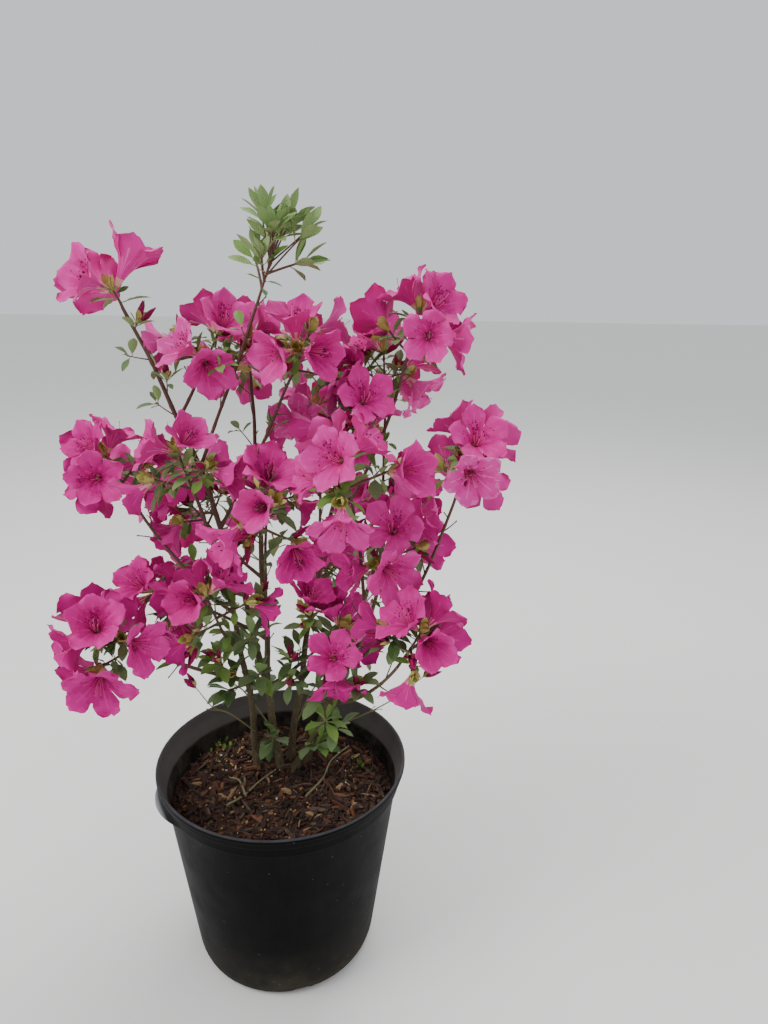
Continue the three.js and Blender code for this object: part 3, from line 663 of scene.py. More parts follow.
class Crown:
    """Everything that grows: the source's own twigs, leaves and blossoms, and the finer ones on them."""

    def __init__(self):
        self.rng = np.random.default_rng(FINER_SEED)
        self.rods, self.leaves, self.blossoms, self.buds, self.scales = [], [], [], [], []
        self.spaces = [(shoot.centre, shoot.space) for shoot in shoots()]
        for name, shoot in zip((*SHOOTS, *TUFTS), shoots()):
            if shoot.leafy:
                self.grow_leafy(name, shoot)
            else:
                self.grow_blooming(name, shoot)
        named = all_limbs()
        for limb in named.values():
            self.grow_spurs(limb)
        for whip in WHIPS:
            self.grow_whip(whip)
        for host, *spray in SPRAYS:
            self.grow_spray(named[host], *spray)

    def chance(self, share):
        return self.rng.random() < share

    def some(self, least, past):
        """A whole number from the least to just below the other."""
        return int(self.rng.integers(least, past))

    def rod(self, twig, look, sunk):
        """A twig as a tapering rod, bowed a little, knobbed at its tip and sunk into what bears it."""
        share = np.linspace(0, 1, ROD["steps"])
        angle, swing = self.rng.uniform(0, 2 * math.pi), self.rng.uniform(*ROD["swings"])
        bow = np.sin(math.pi * share) * swing
        along = mix(-SUNK[sunk], twig.length, share)
        line = np.stack((bow * math.cos(angle), along, bow * math.sin(angle)), 1)
        knob = ROD["knob"] * np.exp(-(((share - ROD["knob_at"]) / ROD["knob_reach"]) ** 2))
        radii = mix(twig.foot, twig.tip, share ** ROD["taper"]) + knob
        self.rods.append((moved(line, twig.matrix), radii, look))

    def own_rod(self, twig, shoot):
        """The rod of one of the source's own twigs."""
        self.rod(twig, 0, "leader" if twig is shoot.leader else "side")

    def side_twig(self, host, along, bearing, lean, rule, look):
        """A finer twig on a host's frame, of a length and thickness from its own rule."""
        matrix = host @ lean_frame(along, bearing, lean, self.rng.uniform(0, 6))
        twig = Twig(matrix, self.rng.uniform(*rule["lengths"]), rule["foot"], rule["tip"])
        self.rod(twig, look, "finer")
        return twig

    def leaf_ring(self, twig, ring, tint, form=0, count=None):
        """A ring of leaves round a twig near its tip, each a golden turn on from the last."""
        rule = RINGS[ring]
        count = count or rule["count"]
        start = self.rng.uniform(0, 360)
        for i in range(count):
            lean = mix(*rule["leans"], (i + self.rng.random()) / count)
            along = twig.length - mix(*rule["below"], (i + self.rng.random()) / count)
            matrix = twig.matrix @ lean_frame(along, start + GOLDEN * i, lean, 0)
            size = self.rng.uniform(*rule["lengths"]) / LEAF["length"]
            self.leaves.append(Grown(self.faced(matrix, form), size, tint, form))

    def faced(self, matrix, form):
        """A leaf's frame, face up and then rolled a little at random, or more on a young leaf."""
        return rolled(face_up(matrix), self.rng.uniform(-1, 1) * LEAF_ROLLS[form])

    def cup(self, matrix, along, rule):
        """Bud scales round a place on a twig, their hollow sides turned to its axis."""
        start = self.rng.uniform(0, 360)
        for i in range(rule["count"]):
            bearing = start + GOLDEN * i
            lean = self.rng.uniform(*rule["leans"])
            scale = matrix @ lean_frame(along - self.rng.uniform(0, 2), bearing, lean, 0)
            scale = rolled(scale, math.radians(bearing + 180))
            size = self.rng.uniform(*rule["lengths"]) / LEAF["length"]
            self.scales.append(Grown(scale, size, int(self.chance(DRYING))))

    def add_buds(self, twig, count):
        """A few closed buds fanned out from a twig's tip, in a cup of scales."""
        start = self.rng.uniform(0, 360)
        for i in range(count):
            lean = BUD["lone_lean"] if count == 1 else self.rng.uniform(*BUD["leans"])
            matrix = twig.matrix @ lean_frame(twig.length - 0.5, start + 360 * i / count, lean, 0)
            size = self.rng.uniform(*BUD["sizes"])
            self.buds.append(Grown(matrix, size, self.some(0, len(BUD_TINTS) - 1)))
        self.cup(twig.matrix, twig.length, BUD_CUP)

    def shade(self, tint):
        """A leaf's tint, now and then one step lighter or darker than its spray's."""
        return int(np.clip(tint + self.rng.choice((-1, 0, 0, 0, 1)), 0, len(LEAF_TINTS) - 1))

    def mouth(self, blossom):
        """Where a blossom opens, a little inside its cone's mouth."""
        return moved(np.array((0, CONE["length"] * 0.8, 0.0)), blossom.matrix, blossom.size)

    def inside(self, matrix, length):
        """Whether what is so long on a frame keeps to some shoot's ball."""
        tip = moved(np.array((0.0, length, 0.0)), matrix)
        return any(np.linalg.norm(tip - centre) < space for centre, space in self.spaces)

    def grow_leafy(self, name, shoot):
        """A shoot without blossoms: young leaves on upright twigs, or a tuft of broad ones."""
        top = name in LEAFY_SHOOTS
        tint, form = LEAF_TINTS.index("bright" if top else "grey"), int(top)
        twigs = list(shoot.twigs)
        for twig in shoot.twigs:
            self.own_rod(twig, shoot)
        if top:
            for i in range(UPRIGHT["count"]):
                along, lean = (self.rng.uniform(*UPRIGHT[key]) for key in ("from", "leans"))
                along = shoot.leader.length - along
                twigs.append(self.side_twig(shoot.leader.matrix, along, GOLDEN * i, lean, UPRIGHT, 0))
            self.leaf_ring(shoot.leader, "old", LEAF_TINTS.index("deep"), form)
        for i, twig in enumerate(twigs):
            if top:
                count = YOUNG["own" if i < len(shoot.twigs) else "upright"]
                self.leaf_ring(twig, "young", self.shade(tint), form, count)
            else:
                self.leaf_ring(twig, "tuft", self.shade(tint))
        for leaf in shoot.leaves:
            if leaf.stands:
                size = leaf.size * (YOUNG["size"] if top else 1)
                self.leaves.append(Grown(self.faced(leaf.matrix, form), size, self.shade(tint), form))

    def grow_blooming(self, name, shoot):
        """A shoot of trusses: scales, leaves and twiglets under them, and then their blossoms."""
        tint = LEAF_TINTS.index("fresh" if shoot.centre[2] > FRESH_ABOVE else "grey")
        for twig in shoot.twigs:
            self.own_rod(twig, shoot)
            self.cup(twig.matrix, twig.length, SCALE)
            if name in LONE_SHOOTS:
                self.leaf_ring(twig, "lone_truss", LEAF_TINTS.index("deep"), 1)
                continue
            count = self.some(*RINGS["truss"]["counts"])
            self.leaf_ring(twig, "truss", self.shade(tint), count=count)
            for _ in range(self.some(*TWIGLET["counts"])):
                along = twig.length * self.rng.uniform(*TWIGLET["from"])
                lean = self.rng.uniform(*TWIGLET["leans"])
                side = self.side_twig(twig.matrix, along, self.rng.uniform(0, 360), lean, TWIGLET, 1)
                self.end_twig(side, self.shade(tint), TIPS["twiglet_buds"])
        for leaf in shoot.leaves:
            if leaf.stands:
                self.leaves.append(Grown(face_up(leaf.matrix), leaf.size, self.shade(tint)))
        self.open_blossoms(name, shoot)

    def open_blossoms(self, name, shoot):
        """A shoot's blossoms, those of its solid first, and a bud here and there where it is crowded."""
        # Painted shade: a shoot's blossoms take a deeper tint below each of these heights.
        shaded = sum(shoot.centre[2] < height for height in SHADED_BELOW)
        mouths = [self.mouth(blossom) for blossom in shoot.blossoms if blossom.stands]
        for blossom in sorted(shoot.blossoms, key=lambda b: not b.stands):
            size, mouth = blossom.size, self.mouth(blossom)
            if not blossom.stands:
                gap = min((np.linalg.norm(mouth - other) for other in mouths), default=math.inf)
                if gap < CROWDED["blossom"]:
                    if self.chance(CROWDED["bud_share"]) and self.inside(blossom.matrix, BUD["length"]):
                        tint = self.some(0, len(BUD_TINTS) - 1)
                        size = self.rng.uniform(*CROWDED["bud_sizes"])
                        self.buds.append(Grown(blossom.matrix, size, tint))
                    continue
                mouths.append(mouth)
                size *= CROWDED["size"]
            size *= FULLER["lone" if name in LONE_SHOOTS else "usual"]
            matrix = lobe_up(blossom.matrix) if self.chance(LOBE_UP) else blossom.matrix
            form = self.some(0, len(FORMS))
            tint = min(shaded + self.some(0, BLOSSOM_TINTS), BLOSSOM_TINTS)
            self.blossoms.append(Grown(matrix, size, tint, form, SHOOTS[name][0]))

    def end_twig(self, twig, tint, bud_share):
        """What ends a fine twig: a few young leaves, and often buds between them."""
        self.leaf_ring(twig, "twig_end", tint, count=self.some(*RINGS["twig_end"]["counts"]))
        if self.chance(bud_share):
            self.add_buds(twig, self.some(*BUD["counts"]))

    def grow_spurs(self, limb):
        """Spurs along a limb, bare or with leaves and buds, closer together towards its tip."""
        count = int(limb.curve.length * (1 - SPUR["first"]) / SPUR["spacing"])
        start = self.rng.uniform(0, 360)
        for i in range(count):
            share = ((i + self.rng.random()) / count) ** SPUR["crowding"]
            share = mix(SPUR["first"], SPUR["last"], share)
            host = frame_at(limb.curve.at(share), limb.curve.heading(share), 0)
            lean = self.rng.uniform(*SPUR["leans"])
            along = float(limb.radius(share)) * 0.7 / math.tan(math.radians(lean))
            side = self.side_twig(host, along, start + GOLDEN * i, lean, SPUR, 0)
            low = side.matrix[2, 3] < LOW_SPURS
            if self.chance(TIPS["low_spur" if low else "leafy_spur"]):
                tint = LEAF_TINTS.index("deep" if low else "grey")
                self.end_twig(side, self.shade(tint), TIPS["spur_buds"])

    def grow_spray(self, limb, share, bearing, lift, length, leaves, buds):
        """A short leafy twig from a low limb, with a few buds in the middle of its leaves."""
        place = frame_at(limb.curve.at(share), heading_at(bearing, lift), 0)
        twig = Twig(place, length, SPRAY["foot"], SPRAY["tip"])
        self.rod(twig, 0, "spray")
        tint = self.shade(LEAF_TINTS.index("grey"))
        self.leaf_ring(twig, "spray", tint, count=leaves)
        self.leaf_ring(twig, "spray_foot", tint)
        if buds:
            self.add_buds(twig, buds)

    def grow_whip(self, points):
        """A thin bare shoot that leans out over the rim, forked near its middle."""
        line = through(points, 4)
        self.rods.append((line, np.linspace(WHIP["foot"], WHIP["tip"], len(line)), 1))
        fork = len(line) // 2
        heading = unit(line[fork + 1] - line[fork])
        for side in (0, 180):
            self.side_twig(frame_at(line[fork], heading, 0), 0, side, WHIP["fork_lean"], FORK, 1)
        end = Twig(frame_at(line[-1], unit(line[-1] - line[-2]), 0), 0.5, WHIP["tip"])
        self.add_buds(end, WHIP["buds"])


@cache
def crown():
    return Crown()


# Meshes

@dataclass
class Part:
    """Corners in millimetres, and triangles with their corners' pattern places and their looks."""

    places: np.ndarray
    faces: np.ndarray
    at: np.ndarray
    looks: np.ndarray

    def moved(self, matrix, size=1.0):
        return Part(moved(self.places, matrix, size), self.faces, self.at, self.looks)

    def dealt(self, looks):
        return Part(self.places, self.faces, self.at, np.asarray(looks)[self.looks])


def merged(parts):
    starts = np.cumsum([0, *(len(part.places) for part in parts)])
    return Part(
        np.concatenate([part.places for part in parts]),
        np.concatenate([part.faces + start for part, start in zip(parts, starts)]),
        np.concatenate([part.at for part in parts]),
        np.concatenate([part.looks for part in parts]),
    )


def sheet(places, at, looks=0, flip=False):
    """A grid of corners as triangles. It closes on itself where its pattern has one column more."""
    rows, columns = places.shape[:2]
    cells = (rows - 1, at.shape[1] - 1)
    row, column = (index.reshape(-1, 1) for index in np.indices(cells))
    down, over = np.array((0, 0, 1, 0, 1, 1)), np.array((0, 1, 1, 0, 1, 0))
    row, column = (row + down).reshape(-1, 3), (column + over).reshape(-1, 3)
    if flip:
        row, column = row[:, ::-1], column[:, ::-1]
    looks = np.repeat(np.broadcast_to(looks, cells).ravel(), 2)
    return Part(places.reshape(-1, 3), row * columns + column % columns, at[row, column], looks)


def fan(ring, centre, step, look=0):
    """A ring of corners closed by triangles round its centre. The step turns their faces in or out."""
    count = len(ring)
    side = np.arange(count)
    faces = np.stack((np.full(count, count), side, (side + 1) % count), 1)[:, ::step]
    corners = np.concatenate((ring, centre[None]))
    return Part(corners, faces, np.zeros((count, 3, 2)), np.full(count, look))


def tube(line, radii, sides, looks=0):
    """A closed tube along a line. Each of its rings has one radius, or one for each side."""
    line = np.asarray(line, float)
    headings = unit(np.gradient(line, axis=0))
    across = np.cross(headings[0], (0.0, 0.0, 1.0) if abs(headings[0][2]) < 0.9 else (1.0, 0.0, 0.0))
    turns = even_turns(sides)
    rings = []
    for heading in headings:
        across = unit(across - heading * (across @ heading))
        beside = np.cross(heading, across)
        rings.append(np.outer(np.cos(turns), across) + np.outer(np.sin(turns), beside))
    radii = np.broadcast_to(radii, len(line))[:, None] if np.ndim(radii) < 2 else radii
    radii = np.broadcast_to(radii, (len(line), sides))
    places = line[:, None] + np.array(rings) * radii[..., None]
    walked = summed(np.linalg.norm(np.diff(line, axis=0), axis=1))
    around = np.linspace(0, 2 * math.pi * radii.mean(), sides + 1)
    body = sheet(places, np.stack(np.broadcast_arrays(around[None], walked[:, None]), 2), looks)
    ends = [fan(places[end], line[end], step, np.max(looks)) for end, step in ((0, -1), (-1, 1))]
    return merged([body, *ends])


def lathe(profile, turns, pull=None):
    """A profile of (radius, height) pairs turned about Z, and where asked pulled in or out."""
    radius, height = (np.asarray(profile, float)[:, [k]] for k in (0, 1))
    angles = even_turns(turns)[None]
    radius, height = np.broadcast_arrays(radius, height, angles)[:2]
    if pull:
        radius, height = pull(radius, height, angles)
    places = np.stack((radius * np.cos(angles), radius * np.sin(angles), height), 2)
    walked = summed(np.hypot(*np.diff(profile, axis=0).T))
    around = np.linspace(0, 2 * math.pi * POT["foot"], turns + 1)
    return sheet(places, np.stack(np.broadcast_arrays(around[None], walked[:, None]), 2))


def rounded(corners, steps=4):
    """A profile whose corners, each given as (radius, height, rounding), are rounded off."""
    corners = np.array(corners, float)
    found = []
    for i, (place, rounding) in enumerate(zip(corners[:, :2], corners[:, 2])):
        if not rounding or i in (0, len(corners) - 1):
            found.append(place)
            continue
        back, on = corners[i - 1, :2] - place, corners[i + 1, :2] - place
        reach = min(rounding, np.linalg.norm(back) * 0.45, np.linalg.norm(on) * 0.45)
        first, last = place + unit(back) * reach, place + unit(on) * reach
        for t in np.linspace(0, 1, steps):
            found.append((1 - t) ** 2 * first + 2 * t * (1 - t) * place + t * t * last)
    return np.array(found)


def piece(name, part, materials, stands_for=(), flat=False):
    """A part as an object that rides on the plant's one body, in place of the nodes it stands for."""
    mesh = bpy.data.meshes.new(name)
    mesh.vertices.add(len(part.places))
    mesh.vertices.foreach_set("co", (part.places * MM).astype(np.float32).ravel())
    mesh.loops.add(part.faces.size)
    mesh.loops.foreach_set("vertex_index", part.faces.astype(np.int32).ravel())
    mesh.polygons.add(len(part.faces))
    mesh.polygons.foreach_set("loop_start", np.arange(0, part.faces.size, 3, dtype=np.int32))
    mesh.polygons.foreach_set("material_index", part.looks.astype(np.int32))
    mesh.update(calc_edges=True)
    uv = mesh.uv_layers.new(name="Pattern")
    uv.data.foreach_set("uv", (part.at * MM).astype(np.float32).ravel())
    for material in materials:
        mesh.materials.append(material)
    if flat:
        mesh.shade_flat()
    else:
        mesh.shade_smooth()
    made = bpy.data.objects.new(name, mesh)
    bpy.context.scene.collection.objects.link(made)
    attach(made, "root")
    if stands_for:
        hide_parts(*stands_for)
    return made


def weld(mesh):
    """Joins the corners of a mesh that lie on each other, and drops the faces that this closes up."""
    work = bmesh.new()
    work.from_mesh(mesh)
    bmesh.ops.remove_doubles(work, verts=work.verts, dist=1e-6)
    work.to_mesh(mesh)
    work.free()


def joined(name, parts, materials, stands_for=(), flat=False):
    """Many parts joined into as few pieces as the most triangles of one piece allow."""
    sizes = np.cumsum([len(part.faces) for part in parts])
    count = math.ceil(sizes[-1] / MOST_TRIANGLES)
    share = np.minimum(sizes * count // (sizes[-1] + 1), count - 1)
    for i in range(count):
        own = [part for part, s in zip(parts, share) if s == i]
        label = name if count == 1 else f"{name}_{i + 1}"
        piece(label, merged(own), materials, () if i else stands_for, flat)


# Materials

def colour(code):
    """The linear colour of a screen colour such as #C85A9E."""
    screen = [int(code[i : i + 2], 16) / 255 for i in (1, 3, 5)]
    return (*(s / 12.92 if s <= 0.04045 else ((s + 0.055) / 1.055) ** 2.4 for s in screen), 1.0)


def repeats(size):
    """A texture's scale for a pattern whose features are so many millimetres apart."""
    return 1 / (size * MM)


def fill(tree, node, inputs):
    """Sets a node's inputs, or links those whose value is another node's output."""
    for key, value in inputs.items():
        if isinstance(value, bpy.types.NodeSocket):
            tree.links.new(value, node.inputs[key])
        else:
            node.inputs[key].default_value = value


def add(tree, kind, inputs, **settings):
    """Adds a shader node with its settings and inputs."""
    node = tree.nodes.new("ShaderNode" + kind)
    for name, value in settings.items():
        setattr(node, name, value)
    fill(tree, node, inputs)
    return node


def surface(name, **inputs):
    """A new material with its node tree and its shader, and the shader's even values."""
    material = bpy.data.materials.new(name)
    material.use_nodes = True
    shader = material.node_tree.nodes["Principled BSDF"]
    fill(material.node_tree, shader, {key.replace("_", " "): value for key, value in inputs.items()})
    return material, material.node_tree, shader


def blend(tree, share, low, high):
    """A colour that goes from low to high as the share goes from 0 to 1."""
    return add(tree, "Mix", {0: share, 6: low, 7: high}, data_type="RGBA").outputs[2]


def ramp(tree, value, start, end, least=0, most=1):
    """Goes from least to most while the value goes from start to end, and stays level beyond."""
    return add(tree, "MapRange", {0: value, 1: start, 2: end, 3: least, 4: most}).outputs[0]


def clouds(tree, place, size, detail, **inputs):
    """Cloudy noise whose features are so many millimetres apart."""
    inputs = {"Vector": place, "Scale": repeats(size), "Detail": detail, **inputs}
    return add(tree, "TexNoise", inputs).outputs[0]


def streaks(tree, scales, size, detail, **inputs):
    """Noise on a mesh's own layout, drawn out along each axis whose scale is less than 1."""
    place = add(tree, "UVMap", {}).outputs[0]
    drawn = add(tree, "VectorMath", {0: place, 1: scales}, operation="MULTIPLY").outputs[0]
    return clouds(tree, drawn, size, detail, **inputs)


def dotted(tree, place, size):
    """Dots so many millimetres apart: first the distance to each one's middle, then its colour."""
    return add(tree, "TexVoronoi", {"Vector": place, "Scale": repeats(size), "Randomness": 1}).outputs


def dented(tree, strength, depth, height, below=None, **settings):
    """The normals of a surface dented so many millimetres deep, on top of the dents below it."""
    inputs = {"Strength": strength, "Distance": depth * MM, "Height": height}
    if below is not None:
        inputs["Normal"] = below
    return add(tree, "Bump", inputs, **settings).outputs[0]


def darker(shade, share):
    """A colour with only a share of its light."""
    return (*(part * share for part in shade[:3]), 1)


def plastic_outside(pot):
    """Injection-moulded polyethylene, satin and nearly black. Dust and a painted highlight pale its
    upward-facing ledges, its grips carry a painted paler grey where light from above falls, and
    splashed mud has dried into a brown film near the ground."""
    material, tree, shader = surface("Polyethylene, injection moulded and weathered",
                                     Specular_IOR_Level=0.07)
    where = add(tree, "TexCoord", {})
    place, facing = where.outputs["Object"], where.outputs["Normal"]
    height = add(tree, "SeparateXYZ", {0: place}).outputs["Z"]
    upward = add(tree, "SeparateXYZ", {0: facing}).outputs["Z"]
    cloud = clouds(tree, place, 34, 5, Roughness=0.62)
    drawn = add(tree, "VectorMath", {0: place, 1: (1, 1, 0.04)}, operation="MULTIPLY").outputs[0]
    scuffed = ramp(tree, clouds(tree, drawn, 3.5, 4), 0.5, 0.78, 0, 0.5)
    # Dust on the upward-facing ledges, and a painted highlight there where light from above falls.
    ledge = ramp(tree, upward, 0.25, 0.95, 0, pot.dust)
    dust_and_highlight = add(tree, "Math", {0: ledge, 1: cloud}, operation="MULTIPLY").outputs[0]
    low = ramp(tree, height, pot.film, pot.film * 0.15, 0, 1.3)
    splashed = ramp(tree, cloud, 0.36, 0.66, 0.1, 0.75)
    film = add(tree, "Math", {0: low, 1: splashed}, operation="MULTIPLY", use_clamp=True).outputs[0]
    specked = ramp(tree, dotted(tree, place, 13)[0], 0.075, 0.05, 0, 0.28)
    # Painted light: the grips' outer faces are painted a paler grey, as if lit from above.
    flat = add(tree, "VectorMath", {0: place, 1: (1, 1, 0)}, operation="MULTIPLY").outputs[0]
    reach = add(tree, "VectorMath", {0: flat}, operation="LENGTH").outputs["Value"]
    out = ramp(tree, reach, (POT["rim"] - 1.5) * MM, (GRIP["radius"] - 1) * MM)
    band = POT["height"] - LIP["band"]
    under = ramp(tree, height, (band + 1) * MM, (band - 1) * MM)
    lit_grip = add(tree, "Math", {0: out, 1: under}, operation="MULTIPLY").outputs[0]
    base = (*pot.plastic, 1)
    for share, code in ((scuffed, "#0C0E10"), (dust_and_highlight, "#76757A"), (lit_grip, "#85868A"),
                        (film, "#3F3A32"), (specked, "#76757A")):
        base = blend(tree, share, base, colour(code))
    rough = ramp(tree, cloud, 0.3, 0.75, 0.46, 0.58)
    rough = add(tree, "Math", {0: film, 1: 0.3, 2: rough}, operation="MULTIPLY_ADD").outputs[0]
    wave = dented(tree, 0.5, 0.5, cloud)
    normal = dented(tree, 0.35, 0.06, clouds(tree, place, 1.1, 2), wave)
    fill(tree, shader, {"Base Color": base, "Roughness": rough, "Normal": normal})
    return material


def plastic_inside():
    """The same polyethylene inside, dull and brown from bark dust, with a painted paler grey on its
    shoulder where light from above falls.
    """
    material, tree, shader = surface("Polyethylene, dulled by bark dust", Specular_IOR_Level=0.2)
    place = add(tree, "TexCoord", {}).outputs["Object"]
    height = add(tree, "SeparateXYZ", {0: place}).outputs["Z"]
    cloud = clouds(tree, place, 22, 6, Roughness=0.7)
    base = blend(tree, ramp(tree, cloud, 0.38, 0.68), colour("#171513"), colour("#4A443C"))
    # Painted light: the shoulder under the rim is painted paler, as if lit from above.
    shoulder = (POT["height"] - LIP["drop"]) * MM
    lit_shoulder = ramp(tree, height, shoulder - 3 * MM, shoulder, 0, 0.7)
    base = blend(tree, lit_shoulder, base, colour("#6C6967"))
    normal = dented(tree, 0.4, 0.15, cloud)
    fill(tree, shader, {"Base Color": base, "Roughness": 0.78, "Normal": normal})
    return material


def bark_fines():
    """Composted bark fines, damp and crumbly, dark brown with paler crumbs."""
    material, tree, shader = surface("Bark fines, composted and damp")
    place = add(tree, "TexCoord", {}).outputs["Object"]
    crumb, cloud = dotted(tree, place, 3.2), clouds(tree, place, 7, 6, Roughness=0.7)
    base = blend(tree, cloud, colour("#20160F"), colour("#523629"))
    tone = add(tree, "SeparateXYZ", {0: crumb["Color"]}).outputs[0]
    base = blend(tree, ramp(tree, tone, 0.8, 1, 0, 0.6), base, colour("#6B4A35"))
    normal = dented(tree, 1, 1.2, crumb[0], invert=True)
    normal = dented(tree, 0.8, 0.8, cloud, normal)
    fill(tree, shader, {"Base Color": base, "Roughness": 0.9, "Normal": normal})
    return material


def shredded_bark(code):
    """Shredded pine bark: its fibres show as long fine streaks, rough and a little darker between."""
    material, tree, shader = surface("Pine bark, shredded " + code[1:])
    fibre = streaks(tree, (0.14, 1, 1), 0.9, 4, Roughness=0.7)
    base = blend(tree, ramp(tree, fibre, 0.36, 0.6), darker(colour(code), 0.42), colour(code))
    normal = dented(tree, 0.9, 0.4, fibre)
    fill(tree, shader, {"Base Color": base, "Roughness": 0.84, "Normal": normal})
    return material


def mineral(name, code, rough, pores):
    """A crumb or bead, faintly mottled, with a fine pitted or waxy skin."""
    material, tree, shader = surface(name, Roughness=rough)
    mottle = clouds(tree, add(tree, "TexCoord", {}).outputs["Object"], pores, 3)
    base = blend(tree, mottle, darker(colour(code), 0.62), colour(code))
    fill(tree, shader, {"Base Color": base, "Normal": dented(tree, 0.7, 0.3, mottle)})
    return material


def living_bark(bark):
    """Azalea bark: smooth and red-brown where it is young, and low down grey-olive and flaking in long
    fissures with pale ridges. Lenticels dot it."""
    material, tree, shader = surface("Azalea bark, young above and fissured below")
    place = add(tree, "TexCoord", {}).outputs["Object"]
    height = add(tree, "SeparateXYZ", {0: place}).outputs["Z"]
    cloud = clouds(tree, place, 26, 4)
    fissure = streaks(tree, (1, 0.16, 1), 1.6, 5, Roughness=0.68, Distortion=0.5)
    age = add(tree, "Math", {0: cloud, 1: 0.16, 2: height}, operation="MULTIPLY_ADD").outputs[0]
    young = ramp(tree, age, 0.36, 0.62)
    old_tone = blend(tree, fissure, (*bark.old, 1), colour("#746A4C"))
    young_tone = blend(tree, cloud, (*bark.young, 1), colour("#694736"))
    base = blend(tree, young, old_tone, young_tone)
    base = blend(tree, ramp(tree, fissure, 0.44, 0.34, 0, 0.75), base, colour("#2A211A"))
    lenticels = dotted(tree, add(tree, "UVMap", {}).outputs[0], 4.2)
    dot = ramp(tree, lenticels[0], 0.16, 0.1, 0, 0.55)
    base = blend(tree, dot, base, colour("#B49D7C"))
    normal = dented(tree, 0.4, 0.25, dot, dented(tree, bark.relief, 0.7, fissure))
    rough = ramp(tree, young, 0, 1, 0.88, 0.6)
    fill(tree, shader, {"Base Color": base, "Roughness": rough, "Normal": normal})
    return material


def twig_bark(name, code):
    """This year's and last year's twigs, thinly haired, with fine lengthwise wrinkles."""
    material, tree, shader = surface(name, Base_Color=colour(code), Roughness=0.62, Sheen_Weight=0.15)
    wrinkle = streaks(tree, (1, 0.2, 1), 0.7, 3)
    fill(tree, shader, {"Normal": dented(tree, 0.6, 0.2, wrinkle)})
    return material


def leaf_skin(name, code, rough):
    """A leaf's face: paired side veins dent it and leave it softly quilted, with a dull waxy shine."""
    material, tree, shader = surface(name, Base_Color=colour(code), Roughness=rough,
                                     Specular_IOR_Level=0.3)
    across, along, _ = add(tree, "SeparateXYZ", {0: add(tree, "UVMap", {}).outputs[0]}).outputs
    out = add(tree, "Math", {0: across}, operation="ABSOLUTE").outputs[0]
    slant = add(tree, "Math", {0: out, 1: -1.1, 2: along}, operation="MULTIPLY_ADD").outputs[0]
    turn = add(tree, "Math", {0: slant, 1: repeats(LEAF_VEINS) * 2 * math.pi}, operation="MULTIPLY")
    vein = add(tree, "Math", {0: turn.outputs[0]}, operation="SINE").outputs[0]
    fill(tree, shader, {"Normal": dented(tree, 0.55, 0.22, vein)})
    return material


def petal_skin(name, code, rough=0.62):
    """Petal tissue: matt and velvety, with fine veins that run out to the edge and catch the light."""
    material, tree, shader = surface(name, Base_Color=colour(code), Roughness=rough, Sheen_Weight=0.12,
                                     Sheen_Tint=colour("#FF8FC8"), Specular_IOR_Level=0.2)
    vein = streaks(tree, (1, 0.1, 1), 1.5, 2)
    fill(tree, shader, {"Normal": dented(tree, 0.5, 0.35, vein)})
    return material


def studio_floor(stage):
    """A plain pale floor, matt, with the faintest mottle so that it doesn't look cut out."""
    material, tree, shader = surface("Studio floor, painted", Roughness=0.9)
    mottle = clouds(tree, add(tree, "TexCoord", {}).outputs["Object"], 900, 3)
    fill(tree, shader, {"Base Color": blend(tree, mottle, darker(stage.floor, 0.96), (*stage.floor, 1))})
    return material


# The pot and what lies in it

def wall_radius(height):
    """The pot's outer wall radius at a height between its foot and its lip."""
    low, high = POT["foot_rise"], POT["height"] - LIP["drop"]
    return mix(POT["foot"], POT["rim"] - LIP["ledge"] * 3, (height - low) / (high - low))


def pot_part():
    """The pot as one lathed skin, with its grips drawn out of the lip."""
    rim, top, base = POT["rim"], POT["height"], POT["base"]
    lip, band, ledge = top - LIP["drop"], top - LIP["band"], LIP["ledge"]
    outside = (
        (0, 0.7, 0), (base - 14, 0.7, 1), (base - 12, 0, 1), (base, 0, 4),
        (mix(base, POT["foot"], 0.72), POT["foot_rise"] * 0.28, 5), (POT["foot"], POT["foot_rise"], 9),
        (wall_radius(60), 60, 0), (wall_radius(120), 120, 0), (wall_radius(170), 170, 0),
        (wall_radius(lip), lip, 0.7), (rim - ledge * 2, lip + 0.5, 0.6),
        (rim - ledge * 1.9, lip + 2, 0.8), (rim - ledge * 1.65, band - 1.4, 0.9),
        (rim - ledge * 0.75, band + 0.2, 0.8),
        (rim - ledge * 0.55, top - 5.4, 0.8), (rim, top - 4.2, 0.7), (rim, top - 0.9, 0.9),
        (rim - 1.2, top, 0.8), (rim - LIP["bead"], top, 0.7),
    )
    inner, rise = POT["wall"], POT["foot_rise"]
    inside = (
        (rim - LIP["bead"] - 0.5, top - 3, 0.8), (rim - ledge * 0.7 - LIP["bead"], band, 2),
        (wall_radius(lip) - inner, lip - 2, 3), (wall_radius(rise) - inner, rise, 8),
        (base - inner, inner, 1), (0, inner, 0),
    )
    profile = rounded(outside + inside, 5)
    # The look of the inside begins three rows in from the highest.
    rim_row = int(np.argmax(profile[:, 1])) + 3

    def draw_grips(radius, height, angles):
        row = np.arange(len(profile))[:, None] < rim_row
        skirt = smooth(lip + 0.1, lip + 0.8, height) * smooth(band + 1, lip + 3, height) * row
        out_of_round = 1 + 0.0022 * np.cos(2 * angles + 0.7) * height / top
        pulled = radius
        for bearing in GRIP["bearings"]:
            away = np.abs((angles - math.radians(bearing) + math.pi) % (2 * math.pi) - math.pi)
            reach = np.cos(np.clip(away / math.radians(GRIP["half_angle"]), 0, 1) * math.pi / 2)
            pulled = mix(pulled, GRIP["radius"], skirt * reach)
        return pulled * out_of_round, height

    turns = 180
    part = lathe(profile, turns, draw_grips)
    inside_rows = np.arange(len(profile) - 1) >= rim_row
    part.looks = np.repeat(inside_rows.astype(int), turns * 2)
    return part


